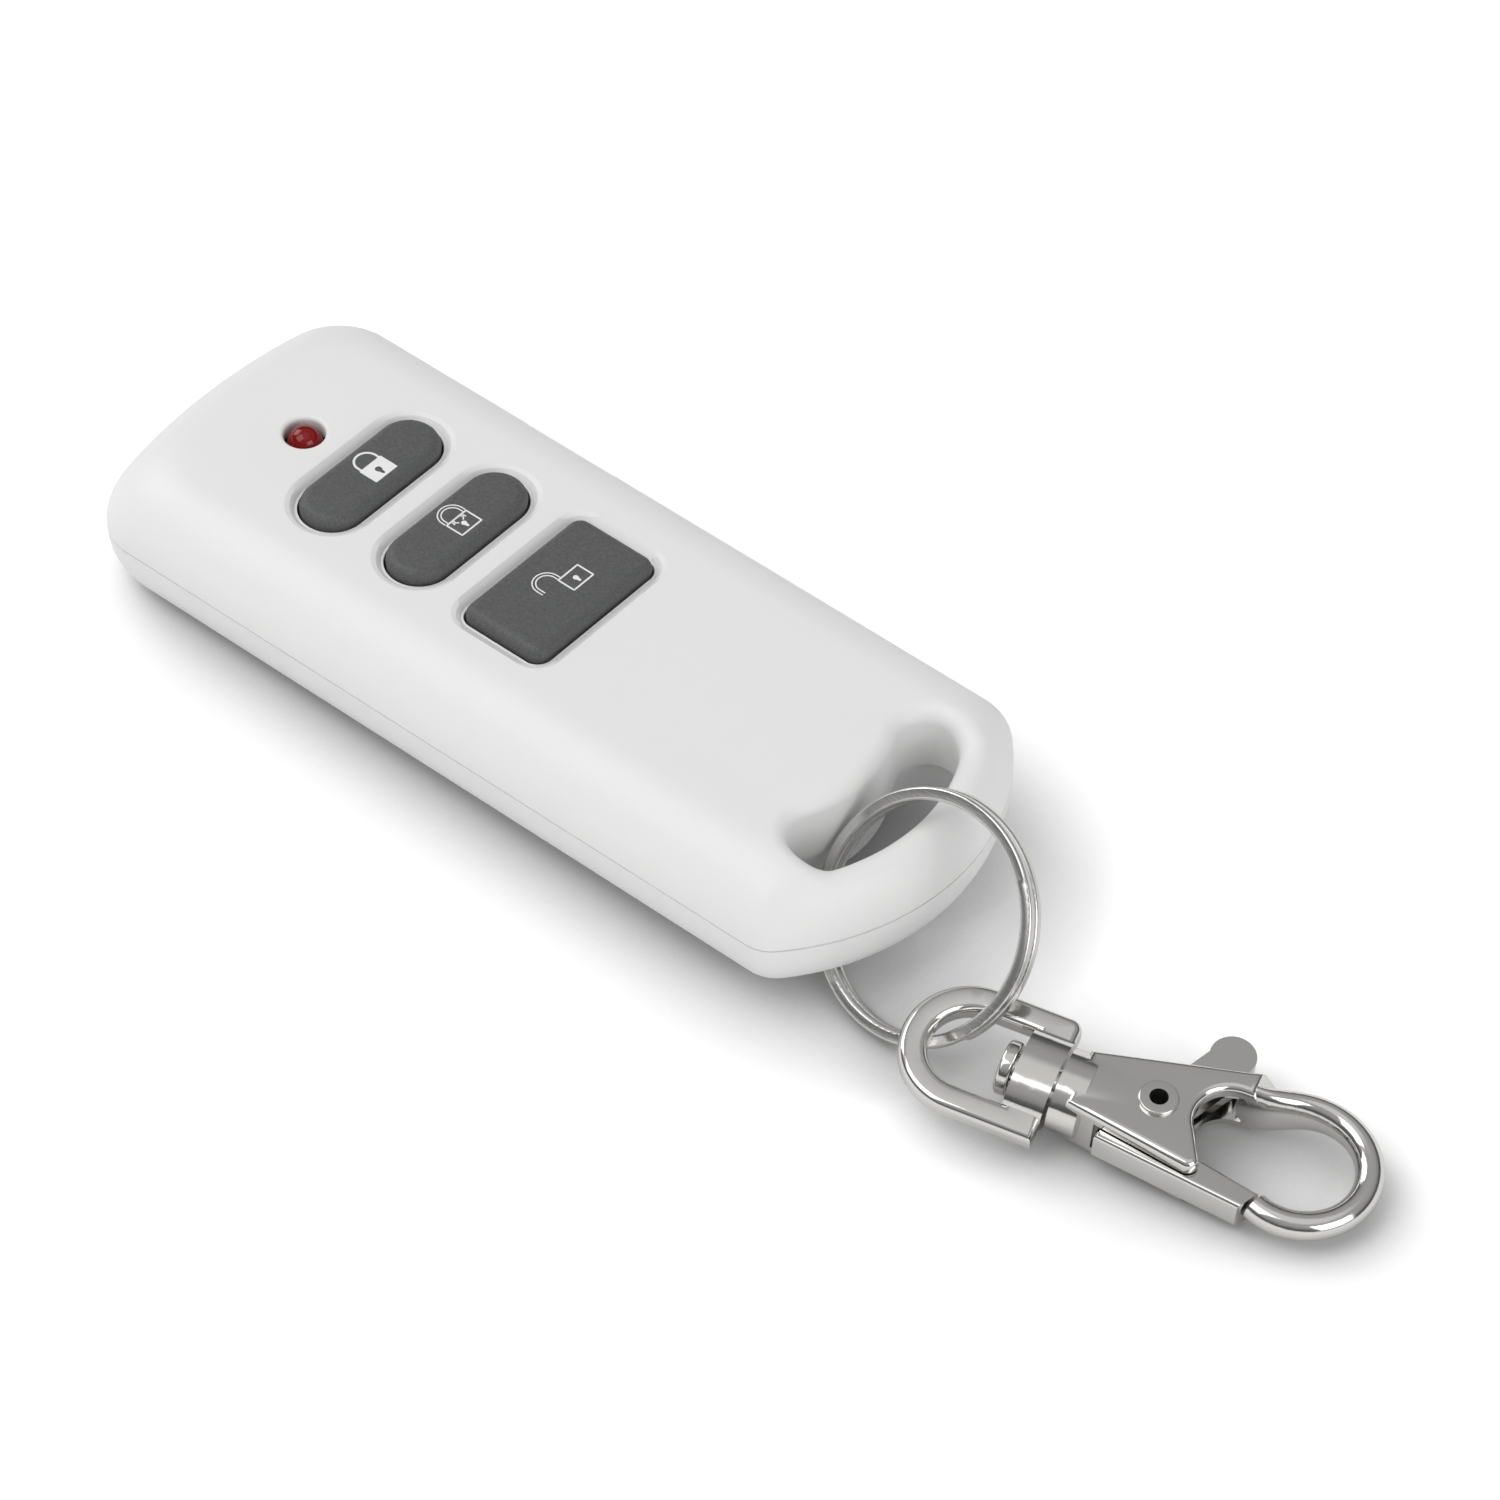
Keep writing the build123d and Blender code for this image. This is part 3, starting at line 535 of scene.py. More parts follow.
SPRING_NICKEL = Finish(
    "spring_nickel",
    colour=(0.66, 0.64, 0.60), worn_colour=(0.58, 0.57, 0.54),
    smooth=0.18, rough=0.30, grain_size=400 * MICRON, grain_depth=1 * MICRON,
    metallic=1.0, scratch_depth=2 * MICRON,
)
BRIGHT_NICKEL = Finish(
    "bright_nickel",
    colour=(0.68, 0.675, 0.66), worn_colour=(0.60, 0.595, 0.58),
    smooth=0.18, rough=0.30, grain_size=700 * MICRON, grain_depth=2.2 * MICRON,
    metallic=1.0, scratch_depth=2 * MICRON,
)
CAST_NICKEL = Finish(
    "cast_nickel",
    colour=(0.70, 0.695, 0.68), worn_colour=(0.60, 0.595, 0.58),
    smooth=0.11, rough=0.24, grain_size=900 * MICRON, grain_depth=6 * MICRON,
    metallic=1.0, scratch_depth=1.5 * MICRON,
)


def dress(node: str, finish: Finish) -> None:
    """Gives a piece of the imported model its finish.

    Args:
        node: Name of the piece.
        finish: The finish it gets.
    """
    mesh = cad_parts[node].data
    mesh.materials.clear()
    mesh.materials.append(finish.material())
    log.info("%s is dressed in %s", node, finish.name)


def smooth_copy(
    node: str,
    finish: Finish,
    body: Body,
    angle: float,
    reshape: Callable[[np.ndarray], np.ndarray] | None = None,
) -> None:
    """Shows a smooth-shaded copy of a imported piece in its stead.

    The copy's doubled vertices are merged, and edges sharper than the angle stay sharp.

    Args:
        node: Name of the piece.
        finish: The finish it gets.
        body: The body it moves with.
        angle: Largest angle, in degrees, that is shaded as smooth.
        reshape: Moves the copy's points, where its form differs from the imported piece.
    """
    points, faces = weld(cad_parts[node].data, WELD_TOLERANCE)
    if reshape:
        points = reshape(points)
    mesh = bpy.data.meshes.new(node + "_surface")
    mesh.from_pydata(points, [], faces)
    mesh.update()
    mesh.polygons.foreach_set("use_smooth", np.ones(len(mesh.polygons), dtype=bool))
    mark_sharp_edges(mesh, math.radians(angle))
    mesh.materials.append(finish.material())
    copy = bpy.data.objects.new(node + "_surface", mesh)
    bpy.context.scene.collection.objects.link(copy)
    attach(copy, body.value)
    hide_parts(node)
    log.info("%s is shown smooth, in %s", node, finish.name)


def weld(mesh: bpy.types.Mesh, tolerance: float) -> tuple[np.ndarray, np.ndarray]:
    """Merges the vertices that lie in one place.

    Each coordinate is rounded to the tolerance, and equal triples become one vertex.

    Args:
        mesh: Mesh of loose triangles.
        tolerance: Size of the rounding, in metres.

    Returns:
        The points, and the triangles that keep three different corners.
    """
    points = np.empty(len(mesh.vertices) * 3)
    mesh.vertices.foreach_get("co", points)
    points = points.reshape(-1, 3)
    ends = np.empty(len(mesh.loops), dtype=np.int64)
    mesh.loops.foreach_get("vertex_index", ends)
    _, first, place = np.unique(
        np.round(points / tolerance).astype(np.int64),
        axis=0,
        return_index=True,
        return_inverse=True,
    )
    faces = place.reshape(-1)[ends].reshape(-1, 3)
    whole = (faces != np.roll(faces, 1, axis=1)).all(axis=1)
    return points[first], faces[whole]


def mark_sharp_edges(mesh: bpy.types.Mesh, angle: float) -> None:
    """Marks each edge whose two faces turn by more than an angle as sharp.

    Args:
        mesh: A welded mesh of triangles.
        angle: The largest smooth turn, in radians.
    """
    normals = np.empty(len(mesh.polygons) * 3)
    mesh.polygons.foreach_get("normal", normals)
    normals = normals.reshape(-1, 3)
    edges = np.empty(len(mesh.loops), dtype=np.int64)
    mesh.loops.foreach_get("edge_index", edges)
    owners = np.repeat(np.arange(len(mesh.polygons)), 3)
    order = np.argsort(edges, kind="stable")
    edges, owners = edges[order], owners[order]
    paired = np.flatnonzero(edges[1:] == edges[:-1])
    turn = np.einsum("ij,ij->i", normals[owners[paired]], normals[owners[paired + 1]])
    sharp = np.zeros(len(mesh.edges), dtype=bool)
    sharp[edges[paired[turn < math.cos(angle)]]] = True
    attribute = mesh.attributes.new("sharp_edge", "BOOLEAN", "EDGE")
    attribute.data.foreach_set("value", sharp)


@dataclass
class PrintedMark:
    """White padlock printed on a key, up towards -X, as thick as a layer of ink.

    The middle of the body is placed on the key. Places in the mark's own plan are across
    and up from there.
    """

    body: Body
    centre_x: float
    centre_y: float
    top: float
    body_length: float = 1.90 * MM
    body_width: float = 2.52 * MM
    ink: float = 0.02 * MM
    full_line: float = 0.20 * MM
    outline: float = 0.15 * MM
    outline_inset: float = 0.10 * MM
    double_line: float = 0.11 * MM
    double_offset: float = 0.15 * MM
    shackle_width: float = 2.10 * MM
    shackle_rise: float = 0.34 * MM
    open_shift: float = 0.756 * MM
    open_foot: float = -0.272 * MM
    keyhole: float = 0.30 * MM
    keyhole_foot: float = 0.70 * MM
    keyhole_power: int = 14
    keyhole_share: float = 0.8
    pole_share: float = 0.02
    arrow_line: float = 0.12 * MM
    arrow_tail: tuple[float, float] = (0.24 * MM, 0.30 * MM)
    arrow_tip: tuple[float, float] = (0.62 * MM, 0.66 * MM)
    barb_length: float = 0.27 * MM
    barb_lead: float = 0.03 * MM
    filled: bool = False
    opened: bool = False
    arrows: bool = False

    def place(self, across: np.ndarray, up: np.ndarray) -> np.ndarray:
        """Turns the mark's own plan, across and up, into points on the key.

        Args:
            across: Distances to the mark's right, which is +Y.
            up: Distances towards the mark's top, which is -X.

        Returns:
            Points on the ink's lower side.
        """
        return np.stack(
            (self.centre_x - up, self.centre_y + across, np.full_like(up, self.top)), axis=-1
        )

    def stroke(self, name: str, across: np.ndarray, up: np.ndarray, width: float) -> None:
        """Prints a line: a flat profile carried along a path, square to the path's direction.

        Args:
            name: Name of the piece.
            across: The path, to the right.
            up: The path, towards the top.
            width: Width of the line.
        """
        path = np.stack((across, up), axis=-1)
        side = square_to(path) * width / 2
        rails = np.stack((path - side, path + side), axis=1)
        self.solid(name, self.place(rails[..., 0], rails[..., 1]))

    def solid(self, name: str, flat: np.ndarray) -> None:
        """Gives a strip of ink its thickness and puts it on the key.

        Args:
            name: Name of the piece.
            flat: Grid of points, rows along the strip and two or more columns across it.
        """
        rows, columns = flat.shape[:2]
        raised = flat + np.array((0.0, 0.0, self.ink))
        points = np.concatenate((flat.reshape(-1, 3), raised.reshape(-1, 3)))
        cell = np.arange(rows * columns).reshape(rows, columns)
        quads = np.stack(
            (cell[:-1, :-1], cell[1:, :-1], cell[1:, 1:], cell[:-1, 1:]), axis=-1
        ).reshape(-1, 4)
        upper = quads + rows * columns
        rim = np.concatenate(
            (cell[:, 0], cell[-1, 1:], cell[-2::-1, -1], cell[0, -2:0:-1], cell[0, :1])
        )
        walls = np.stack(
            (rim[:-1], rim[1:], rim[1:] + rows * columns, rim[:-1] + rows * columns), axis=-1
        )
        faces = np.concatenate((quads[:, ::-1], upper, walls)).tolist()
        make_piece(name, points, faces, KEY_PRINT, self.body)

    def build(self) -> None:
        """Prints the body, the shackle, the keyhole and, on the part-arm key, two arrows."""
        label = self.body.value.replace("_key", "")
        if self.filled:
            self.filled_body(label + "_mark_body")
        else:
            up = self.body_length / 2 - self.outline_inset
            out = self.body_width / 2 - self.outline_inset
            box = np.array(((0.0, up), (out, up), (out, -up), (-out, -up), (-out, up), (0.0, up)))
            self.stroke(label + "_mark_body", *along(box, LINE_POINTS).T, self.outline)
            self.keyhole_patch(label + "_mark_keyhole")
        self.shackle(label)
        if self.arrows:
            self.arrow(label, -1)
            self.arrow(label, 1)

    def arrow(self, label: str, side: int) -> None:
        """Prints one arrow, a straight shaft and a barb that turns a right angle at its tip.

        Args:
            label: First word of the pieces' names.
            side: -1 for the arrow to the left, 1 for the one to the right.
        """
        mirror = np.array((side, 1.0))
        shaft = np.array((self.arrow_tail, self.arrow_tip)) * mirror
        lead, length = self.barb_lead, self.barb_length
        barb = shaft[1] + np.array(((-length, lead), (lead, lead), (lead, -length))) * mirror
        for part, path in (("arrow", shaft), ("barb", barb)):
            self.stroke(f"{label}_mark_{part}_{side + 1}", *along(path, ARROW_POINTS).T,
                        self.arrow_line)

    def shackle(self, label: str) -> None:
        """Prints the shackle, closed over the body, or swung open beside it.

        Its path is a straight leg, half a circle and a second leg.

        Args:
            label: First word of the pieces' names.
        """
        radius = self.shackle_width / 2
        turn = np.linspace(math.pi, 0.0, ARC_POINTS)
        base = self.body_length / 2
        shift = -(self.body_width / 2 + self.open_shift) if self.opened else 0.0
        foot = self.open_foot if self.opened else 0.0
        left = np.linspace(foot, self.shackle_rise, LEG_POINTS)[:-1]
        right = np.linspace(self.shackle_rise, 0.0, LEG_POINTS)[1:]
        across = shift + np.concatenate(
            (np.full_like(left, -radius), radius * np.cos(turn), np.full_like(right, radius))
        )
        up = base + np.concatenate((left, radius * np.sin(turn) + self.shackle_rise, right))
        if self.filled:
            self.stroke(label + "_mark_shackle", across, up, self.full_line)
            return
        middle = np.stack((across, up), axis=-1)
        side = square_to(middle) * self.double_offset
        for name, shifted in (("outer", middle + side), ("inner", middle - side)):
            self.stroke(f"{label}_mark_shackle_{name}", *shifted.T, self.double_line)

    def keyhole_radius(self, turn: np.ndarray) -> np.ndarray:
        """Radius of the keyhole's outline at an angle from the mark's up direction.

        It is a circle, stretched downwards into a foot by a power of the cosine.

        Args:
            turn: Angles from straight up, in radians.

        Returns:
            The radii.
        """
        foot = np.clip(-np.cos(turn), 0.0, 1.0) ** self.keyhole_power
        return self.keyhole + (self.keyhole_foot - self.keyhole) * foot

    def filled_body(self, name: str) -> None:
        """Prints the body as a ring of ink between the keyhole and a rectangle.

        Both outlines are radii round the keyhole's centre at the same angles. The rectangle's
        is one over the larger of |cos| / half length and |sin| / half width.

        Args:
            name: Name of the piece.
        """
        turn = np.linspace(0.0, 2 * math.pi, OUTLINE_POINTS)
        reach = np.maximum(
            np.abs(np.cos(turn)) / (self.body_length / 2),
            np.abs(np.sin(turn)) / (self.body_width / 2),
        )
        self.round_strip(name, turn, self.keyhole_radius(turn), 1.0 / reach)

    def keyhole_patch(self, name: str) -> None:
        """Prints the keyhole itself, from its centre out to its outline.

        Args:
            name: Name of the piece.
        """
        turn = np.linspace(0.0, 2 * math.pi, KEYHOLE_POINTS)
        outline = self.keyhole_radius(turn) * self.keyhole_share
        self.round_strip(name, turn, outline * self.pole_share, outline)

    def round_strip(
        self, name: str, turn: np.ndarray, inner: np.ndarray, outer: np.ndarray
    ) -> None:
        """Prints the strip between two outlines: radius times (sin, cos) of the angle.

        Args:
            name: Name of the piece.
            turn: Angles from straight up, in radians.
            inner: Radius of the inner outline at each angle.
            outer: Radius of the outer outline at each angle.
        """
        radii = np.stack((inner, outer), axis=-1)
        self.solid(name, self.place(radii * np.sin(turn)[:, None], radii * np.cos(turn)[:, None]))


def square_to(path: np.ndarray) -> np.ndarray:
    """Unit vectors to the left of a flat path: its direction, turned by a right angle.

    Args:
        path: The path's points, one row each.

    Returns:
        One vector for each point.
    """
    ahead = np.gradient(path, axis=0)
    ahead /= np.linalg.norm(ahead, axis=1, keepdims=True)
    return np.stack((-ahead[:, 1], ahead[:, 0]), axis=-1)


def along(turns: np.ndarray, count: int) -> np.ndarray:
    """Points along a run of straight lines, each a blend of the line's two ends.

    Args:
        turns: The points where the run starts, turns and ends, one row each.
        count: Number of points on each line.

    Returns:
        The points, with each turn once.
    """
    share = np.linspace(0.0, 1.0, count, endpoint=False)[None, :, None]
    lines = turns[:-1, None] * (1 - share) + turns[1:, None] * share
    return np.concatenate((lines.reshape(-1, turns.shape[1]), turns[-1:]))


def make_piece(
    name: str, points: np.ndarray, faces: list[list[int]], finish: Finish, body: Body
) -> bpy.types.Object:
    """Makes a mesh object at the origin that rides on a body.

    Args:
        name: Name of the piece.
        points: Points in the model's frame.
        faces: Corners of each face.
        finish: Its finish.
        body: The body it moves with.

    Returns:
        The new object.
    """
    mesh = bpy.data.meshes.new(name)
    mesh.from_pydata(points, [], faces)
    mesh.update()
    mesh.materials.append(finish.material())
    piece = bpy.data.objects.new(name, mesh)
    bpy.context.scene.collection.objects.link(piece)
    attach(piece, body.value)
    log.info("%s has %d faces", name, len(mesh.polygons))
    return piece


@dataclass
class Housing:
    """The two white shells.

    Round each key the front one dips to the bezel level at the key's edge, and the copy's
    edge is deeper.
    """

    smooth_angle: float = 18.0
    bezel_level: float = 10.95 * MM
    level_tolerance: float = 0.004 * MM
    bezel_reach: float = 7.9 * MM
    deeper: float = 0.22 * MM

    def build(self) -> None:
        """Shows both shells smooth, in white plastic."""
        smooth_copy("front_cover", WHITE_ABS, Body.HOUSING, self.smooth_angle,
                    self.deepen)
        smooth_copy("back_cover", WHITE_ABS, Body.HOUSING, self.smooth_angle)

    def deepen(self, points: np.ndarray) -> np.ndarray:
        """Lowers the inner edge of each bezel.

        Args:
            points: Points of the front cover.

        Returns:
            The points, those at the bezel level near the keys moved down.
        """
        first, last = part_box("arm_button")[0][0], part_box("disarm_button")[1][0]
        edge = (
            (np.abs(points[:, 2] - self.bezel_level) < self.level_tolerance)
            & (np.abs(points[:, 1]) < self.bezel_reach)
            & (points[:, 0] > first) & (points[:, 0] < last)
        )
        log.info("%d points of the bezels are lowered", edge.sum())
        moved = points.copy()
        moved[edge, 2] -= self.deeper
        return moved


@dataclass
class Keypad:
    """Three dark keys and the padlocks printed on them."""

    smooth_angle: float = 28.0
    mark_lift: float = 1 * MICRON
    arm_mark: tuple[float, float] = (0.62 * MM, 0.31 * MM)
    part_arm_mark: tuple[float, float] = (0.61 * MM, 0.20 * MM)
    disarm_mark: tuple[float, float] = (0.57 * MM, 1.38 * MM)

    def build(self) -> None:
        """Shows the keys smooth and prints their marks."""
        for body in (Body.ARM, Body.PART_ARM, Body.DISARM):
            smooth_copy(self.button(body), KEY_GREY, body, self.smooth_angle)
        self.mark(Body.ARM, self.arm_mark, filled=True)
        self.mark(Body.PART_ARM, self.part_arm_mark, arrows=True)
        self.mark(Body.DISARM, self.disarm_mark, opened=True)

    @staticmethod
    def button(body: Body) -> str:
        """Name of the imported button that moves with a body."""
        return body.value.replace("_key", "_button")

    def mark(self, body: Body, offset: tuple[float, float], **kind: bool) -> None:
        """Prints a padlock on a key.

        Args:
            body: The key's body.
            offset: The padlock's middle, along X from the key's middle and along Y from the
                fob's.
            kind: Which of filled, arrows and opened it is.
        """
        low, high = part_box(self.button(body))
        centre_x = (low[0] + high[0]) / 2 + offset[0]
        PrintedMark(body, centre_x, offset[1], high[2] + self.mark_lift, **kind).build()


@dataclass
class StatusLamp:
    """The red lamp in its hole: a flanged cylinder of tinted epoxy with a domed end."""

    lens_radius: float = 1.5 * MM
    flange_height: float = 1.0 * MM
    dome_top: float = 11.65 * MM
    pole_radius: float = 0.02 * MM
    dome_rings: int = 17
    segments: int = 64

    def build(self) -> None:
        """Makes the lens in place of its plain piece."""
        low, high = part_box("status_led")
        flange = (high[0] - low[0]) / 2
        last = math.pi / 2 - self.pole_radius / self.lens_radius
        turn = np.linspace(0.0, last, self.dome_rings)
        neck = low[2] + self.flange_height
        radii = np.concatenate(
            ((flange, flange, self.lens_radius), self.lens_radius * np.cos(turn))
        )
        heights = np.concatenate(
            ((low[2], neck, neck), self.dome_top - self.lens_radius * (1 - np.sin(turn)))
        )
        centre = ((low[0] + high[0]) / 2, (low[1] + high[1]) / 2)
        points, faces = lathe(radii, heights, centre, self.segments)
        lens = make_piece("status_led_lens", points, faces, RED_LENS, Body.HOUSING)
        lens.data.polygons.foreach_set("use_smooth", np.ones(len(faces), dtype=bool))
        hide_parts("status_led")


def lathe(
    radii: np.ndarray, heights: np.ndarray, centre: tuple[float, float], segments: int
) -> tuple[np.ndarray, list[list[int]]]:
    """Turns a profile about a vertical axis.

    Point (i, j) is centre + radii[i] (cos 2 pi j / n, sin 2 pi j / n), at heights[i].

    Args:
        radii: Radius at each step of the profile, from the bottom up.
        heights: Height at each step.
        centre: Place of the axis, along X and Y.
        segments: Number of points round the axis.

    Returns:
        The points and the faces, closed by one flat face at each end.
    """
    turn = np.linspace(0.0, 2 * math.pi, segments, endpoint=False)
    rings = np.stack(
        (
            centre[0] + radii[:, None] * np.cos(turn),
            centre[1] + radii[:, None] * np.sin(turn),
            np.repeat(heights[:, None], segments, axis=1),
        ),
        axis=-1,
    )
    cell = np.arange(rings.shape[0] * segments).reshape(-1, segments)
    after = np.roll(cell, -1, axis=1)
    quads = np.stack((cell[:-1], after[:-1], after[1:], cell[1:]), axis=-1).reshape(-1, 4)
    return rings.reshape(-1, 3), [*quads.tolist(), cell[0, ::-1].tolist(), cell[-1].tolist()]


@dataclass
class Electronics:
    """The board, what stands on it, the cell and its contacts."""

    def build(self) -> None:
        """Dresses each inner piece in its own finish."""
        finishes = {
            GREEN_MASK: ("circuit_board",),
            BLACK_EPOXY: ("processor_chip", "radio_chip", "arm_plunger", "part_arm_plunger",
                          "disarm_plunger"),
            TAN_CERAMIC: ("chip_capacitors",),
            SATIN_STEEL: ("crystal", "antenna", "coin_cell", "arm_switch", "part_arm_switch",
                          "disarm_switch"),
            SPRING_NICKEL: ("battery_positive_clip", "battery_negative_contact",
                            "gate_spring"),
        }
        for finish, nodes in finishes.items():
            for node in nodes:
                dress(node, finish)


@dataclass
class RingAndHook:
    """The split ring, the swivel eye and the snap hook."""

    smooth_angle: float = 35.0

    def build(self) -> None:
        """Shows each plated piece smooth."""
        pieces = (
            ("key_ring", BRIGHT_NICKEL, Body.RING, Slot.RING),
            ("swivel_eye", CAST_NICKEL, Body.EYE, Slot.CAST),
            ("swivel_rivet", CAST_NICKEL, Body.HOOK, Slot.CAST),
            ("hook_body", CAST_NICKEL, Body.HOOK, Slot.CAST),
            ("gate_eyelet", BRIGHT_NICKEL, Body.HOOK, Slot.RING),
            ("gate_lever", CAST_NICKEL, Body.GATE, Slot.CAST),
        )
        for node, finish, body, slot in pieces:
            smooth_copy(node, finish, body, self.smooth_angle)


@dataclass(frozen=True)
class Softbox:
    """Square lamp that faces the fob: its side in metres and its power in watts."""

    name: str
    centre: Point
    side: float
    power: float

    def build(self) -> None:
        """Hangs the lamp with its front to the origin."""
        light = bpy.data.lights.new(self.name, "AREA")
        light.size = self.side
        light.energy = self.power
        lamp = bpy.data.objects.new(self.name, light)
        lamp.location = self.centre
        lamp.rotation_euler = (-Vector(self.centre)).to_track_quat("-Z", "Y").to_euler()
        bpy.context.scene.collection.objects.link(lamp)


SOFTBOXES = (
    Softbox("key_softbox", (-0.58, 0.00, 0.46), side=0.40, power=1.50),
    Softbox("fill_softbox", (-0.20, -0.42, 0.78), side=0.60, power=2.20),
    Softbox("side_softbox", (0.70, -0.08, 0.34), side=0.50, power=1.90),
)


@dataclass
class Studio:
    """White floor with a painted shadow near the fob, soft lamps and the camera of the photograph.

    The floor leans, because the fob rests on the lamp end of its base and on the ring and hook
    that hang below the base.
    """

    azimuth: float = 40.506
    elevation: float = 46.303
    place: Point = (273.6 * MM, -297.3 * MM, 415.5 * MM)
    lens: float = 171.75
    clip_start: float = 0.01
    rest_edge: float = -37.4 * MM
    floor_half: float = 3.0
    world_level: float = 0.50
    near_side_gain: float = 0.20
    mirrored_lean: float = 0.12
    mirrored_stops: Stops = (
        (0.0, 1.0), (0.12, 0.9), (0.22, 0.06), (0.40, 0.14), (0.58, 0.32), (0.74, 0.40),
        (0.88, 0.43), (0.97, 0.75),
    )
    # Painted shadow on the floor: occlusion within this reach, sampled round a leaned normal,
    # darkens the floor's colour near the fob, with its own power for camera rays, bounced light
    # and reflections.
    painted_shadow_reach: float = 12.0 * MM
    painted_shadow_lean: Point = (-0.65, 0.05, 0.75)
    painted_shadow_camera_power: float = 1.02
    painted_shadow_bounce_power: float = 0.45
    painted_shadow_reflected_power: float = 0.70
    paper_white: float = 0.95
    paper_lift: float = 0.27
    paper_roughness: float = 0.9

    def build(self) -> None:
        """Makes the camera, the floor, the lamps and the world."""
        self.camera()
        self.floor()
        for softbox in SOFTBOXES:
            softbox.build()
        self.world()
        bpy.context.scene.view_settings.view_transform = "Standard"

    def camera(self) -> None:
        """Sets the camera at the photograph's place and angle.

        Its axes are right, up and back, from the azimuth and the elevation.
        """
        turn, rise = math.radians(self.azimuth), math.radians(self.elevation)
        right = Vector((math.cos(turn), math.sin(turn), 0.0))
        back = Vector((math.sin(turn) * math.cos(rise), -math.cos(turn) * math.cos(rise),
                       math.sin(rise)))
        up = back.cross(right)
        settings = bpy.data.cameras.new("photo_camera")
        settings.lens = self.lens
        settings.clip_start = self.clip_start
        camera = bpy.data.objects.new("photo_camera", settings)
        axes = Matrix((right, up, back)).transposed()
        camera.matrix_world = Matrix.Translation(self.place) @ axes.to_4x4()
        bpy.context.scene.collection.objects.link(camera)
        bpy.context.scene.camera = camera

    def floor_slope(self) -> float:
        """Steepest slope at which a floor through the resting edge clears every point.

        Returns:
            Rise over run along X, which is negative.
        """
        slope = 0.0
        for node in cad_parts.values():
            points = np.empty(len(node.data.vertices) * 3)
            node.data.vertices.foreach_get("co", points)
            points = points.reshape(-1, 3)
            beyond = points[points[:, 0] > 0.0]
            rise = beyond[:, 2] / (beyond[:, 0] - self.rest_edge)
            slope = min(slope, float(rise.min(initial=0.0)))
        return slope

    def floor(self) -> None:
        """Makes the floor, a wide plane through the resting edge at the clearing slope."""
        slope = self.floor_slope()
        half = self.floor_half
        across = np.array((-half, half, half, -half))
        depth = np.array((-half, -half, half, half))
        height = slope * (across - self.rest_edge)
        mesh = bpy.data.meshes.new("studio_floor")
        mesh.from_pydata(np.stack((across, depth, height), axis=-1), [], [(0, 1, 2, 3)])
        mesh.update()
        mesh.materials.append(self.floor_material())
        floor = bpy.data.objects.new("studio_floor", mesh)
        bpy.context.scene.collection.objects.link(floor)
        log.info("floor leans at a slope of %.4f", slope)

    def floor_material(self) -> bpy.types.Material:
        """White paper with a painted shadow close to the object.

        Its colour is white times a power of the open share round each point, within the
        painted shadow's reach and leaned to one side. This darkening is painted shadow, not a
        property of the paper. The power differs for the camera, for bounced light and for
        reflections. The camera also sees the paper shine a little, and the same painted shadow
        darkens that shine.

        Returns:
            The floor's material.
        """
        made = bpy.data.materials.new("studio_white_painted_shadow")
        made.use_nodes = True
        bench = Bench(made.node_tree)
        shader = made.node_tree.nodes["Principled BSDF"]
        path = bench.add("ShaderNodeLightPath")
        near = bench.add("ShaderNodeAmbientOcclusion")
        near.inputs["Distance"].default_value = self.painted_shadow_reach
        lean = bench.add("ShaderNodeCombineXYZ")
        for socket, value in zip(lean.inputs, Vector(self.painted_shadow_lean).normalized()):
            socket.default_value = value
        bench.wire(lean.outputs[0], near.inputs["Normal"])
        camera = bench.maths("MULTIPLY", path.outputs["Is Camera Ray"], self.painted_shadow_camera_power)
        bounce = bench.maths("MULTIPLY", path.outputs["Is Diffuse Ray"], self.painted_shadow_bounce_power)
        mirrored = bench.maths("MULTIPLY", path.outputs["Is Glossy Ray"], self.painted_shadow_reflected_power)
        power = bench.maths("ADD", bench.maths("ADD", camera, bounce), mirrored)
        # Painted shadow: the occlusion to this power darkens the floor's colour and the shine that
        # the camera sees.
        contact = bench.maths("POWER", near.outputs["AO"], power)
        paper = bench.add("ShaderNodeCombineColor")
        level = bench.maths("MULTIPLY", contact, self.paper_white)
        for channel in paper.inputs:
            bench.wire(level, channel)
        bench.wire(paper.outputs[0], shader.inputs["Base Color"])
        shader.inputs["Roughness"].default_value = self.paper_roughness
        shader.inputs["Specular IOR Level"].default_value = 0.0
        shader.inputs["Emission Color"].default_value = WHITE
        lift = bench.maths("MULTIPLY", contact, self.paper_lift)
        bench.wire(
            bench.maths("MULTIPLY", path.outputs["Is Camera Ray"], lift),
            shader.inputs["Emission Strength"],
        )
        return made

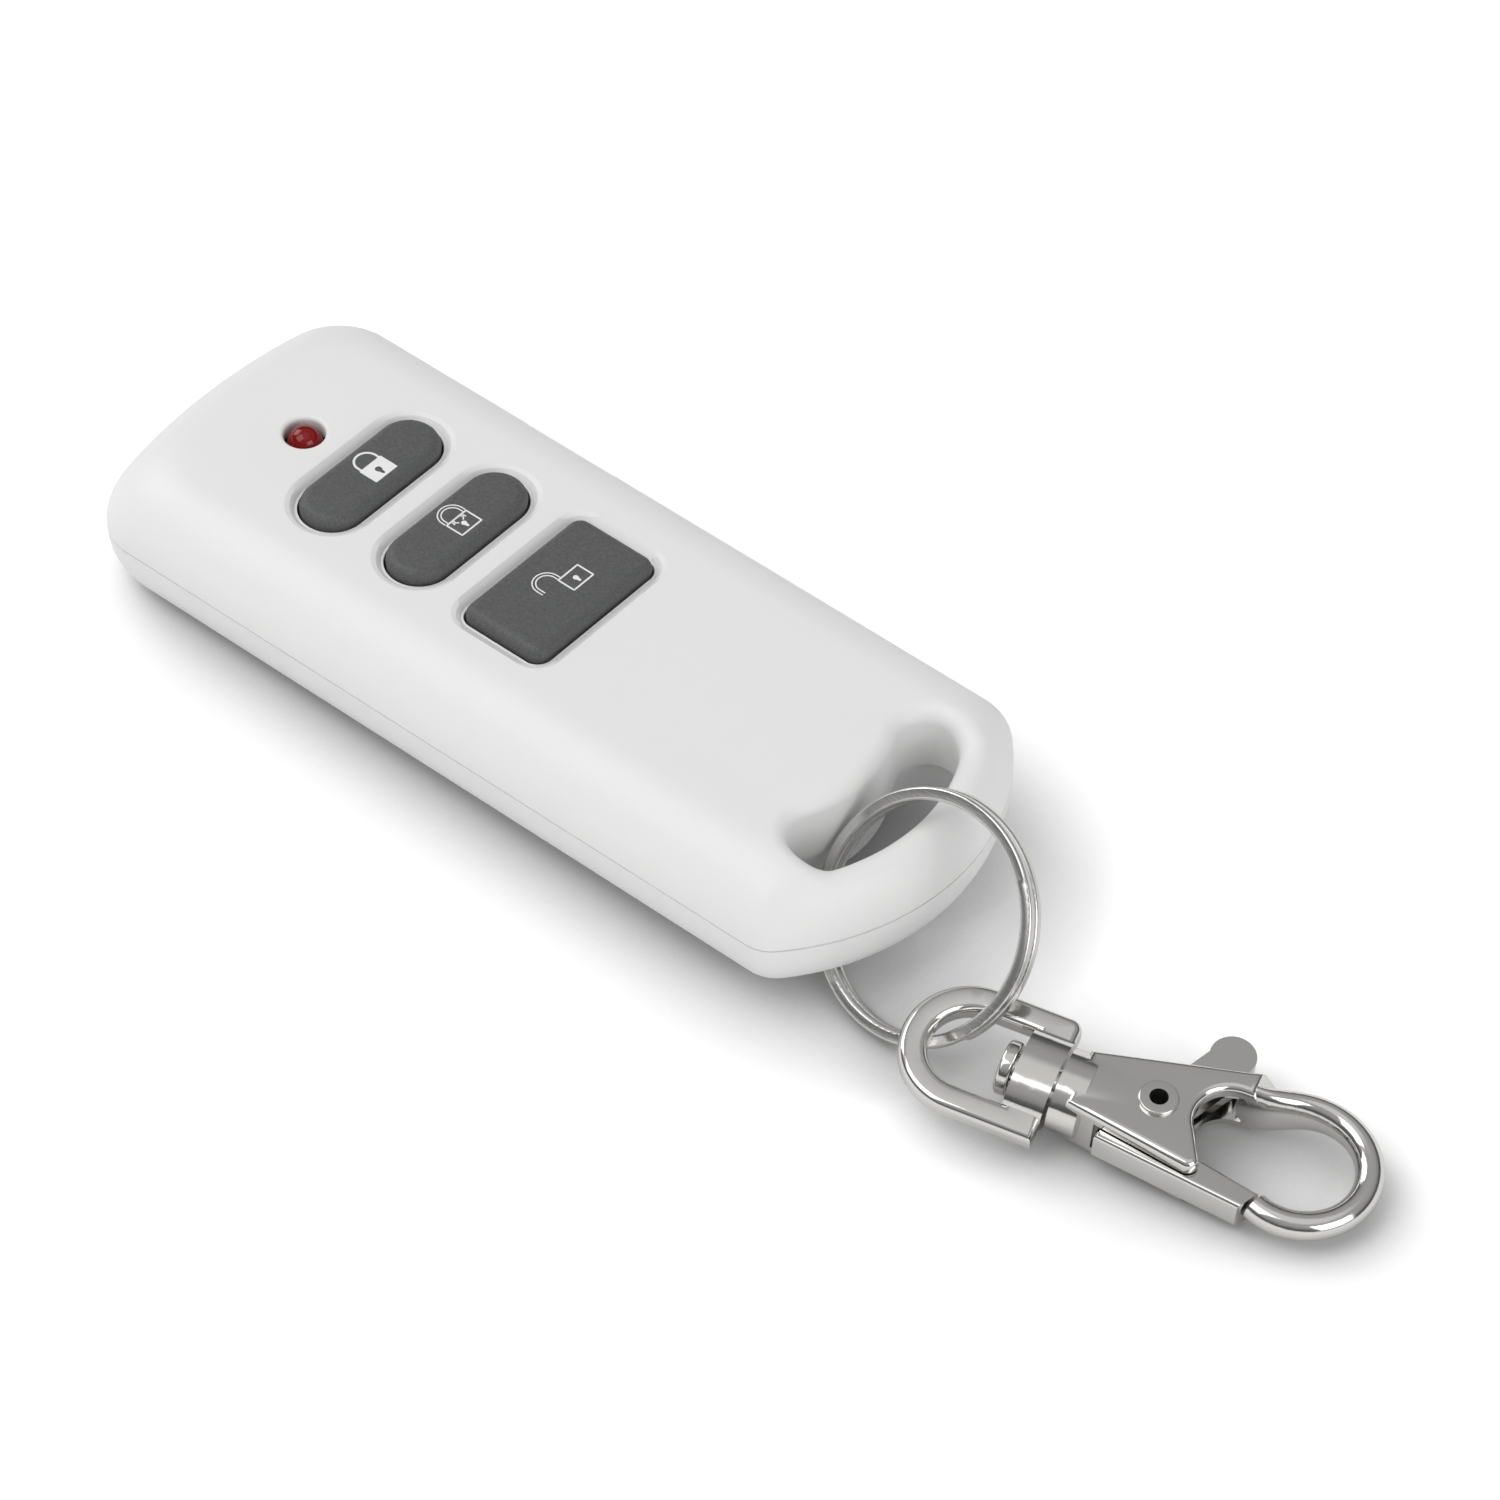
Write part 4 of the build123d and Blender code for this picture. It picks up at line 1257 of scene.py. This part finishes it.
    def world(self) -> None:
        """Sets the surroundings: white for the camera, plain light and mirrored light.

        The plain light is the world level times 1 - near side gain * y, where (x, y, z) is the
        direction. The mirrored light is a ramp over z + mirrored lean * x.
        """
        world = bpy.data.worlds.new("studio")
        world.use_nodes = True
        world.node_tree.nodes.clear()
        bench = Bench(world.node_tree)
        path = bench.add("ShaderNodeLightPath")
        heading = bench.add("ShaderNodeSeparateXYZ")
        bench.wire(bench.add("ShaderNodeTexCoord").outputs["Generated"], heading.inputs[0])
        plain = bench.add("ShaderNodeBackground")
        plain.inputs["Color"].default_value = WHITE
        gain = bench.maths("MULTIPLY", heading.outputs["Y"],
                           -self.near_side_gain * self.world_level)
        bench.wire(bench.maths("ADD", gain, self.world_level), plain.inputs["Strength"])
        mirrored = bench.add("ShaderNodeBackground")
        side = bench.maths("MULTIPLY", heading.outputs["X"], self.mirrored_lean)
        height = bench.maths("ADD", heading.outputs["Z"], side)
        bench.wire(bench.ramp(height, self.mirrored_stops, "EASE"), mirrored.inputs["Color"])
        white = bench.add("ShaderNodeBackground")
        white.inputs["Color"].default_value = WHITE
        glossy = bench.add("ShaderNodeMixShader")
        bench.wire(path.outputs["Is Glossy Ray"], glossy.inputs["Fac"])
        bench.wire(plain.outputs[0], glossy.inputs[1])
        bench.wire(mirrored.outputs[0], glossy.inputs[2])
        final = bench.add("ShaderNodeMixShader")
        seen = bench.maths("MAXIMUM", path.outputs["Is Camera Ray"],
                           path.outputs["Is Transmission Ray"])
        bench.wire(seen, final.inputs["Fac"])
        bench.wire(glossy.outputs[0], final.inputs[1])
        bench.wire(white.outputs[0], final.inputs[2])
        output = bench.add("ShaderNodeOutputWorld")
        bench.wire(final.outputs[0], output.inputs["Surface"])
        bpy.context.scene.world = world


def main() -> None:
    """Builds the fob's looks in order."""
    logging.basicConfig(level=logging.INFO, format="%(name)s: %(message)s")
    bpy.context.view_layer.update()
    for part in (Housing(), Keypad(), StatusLamp(), Electronics(), RingAndHook()):
        part.build()
    Studio().build()


if __name__ == "__main__":
    main()
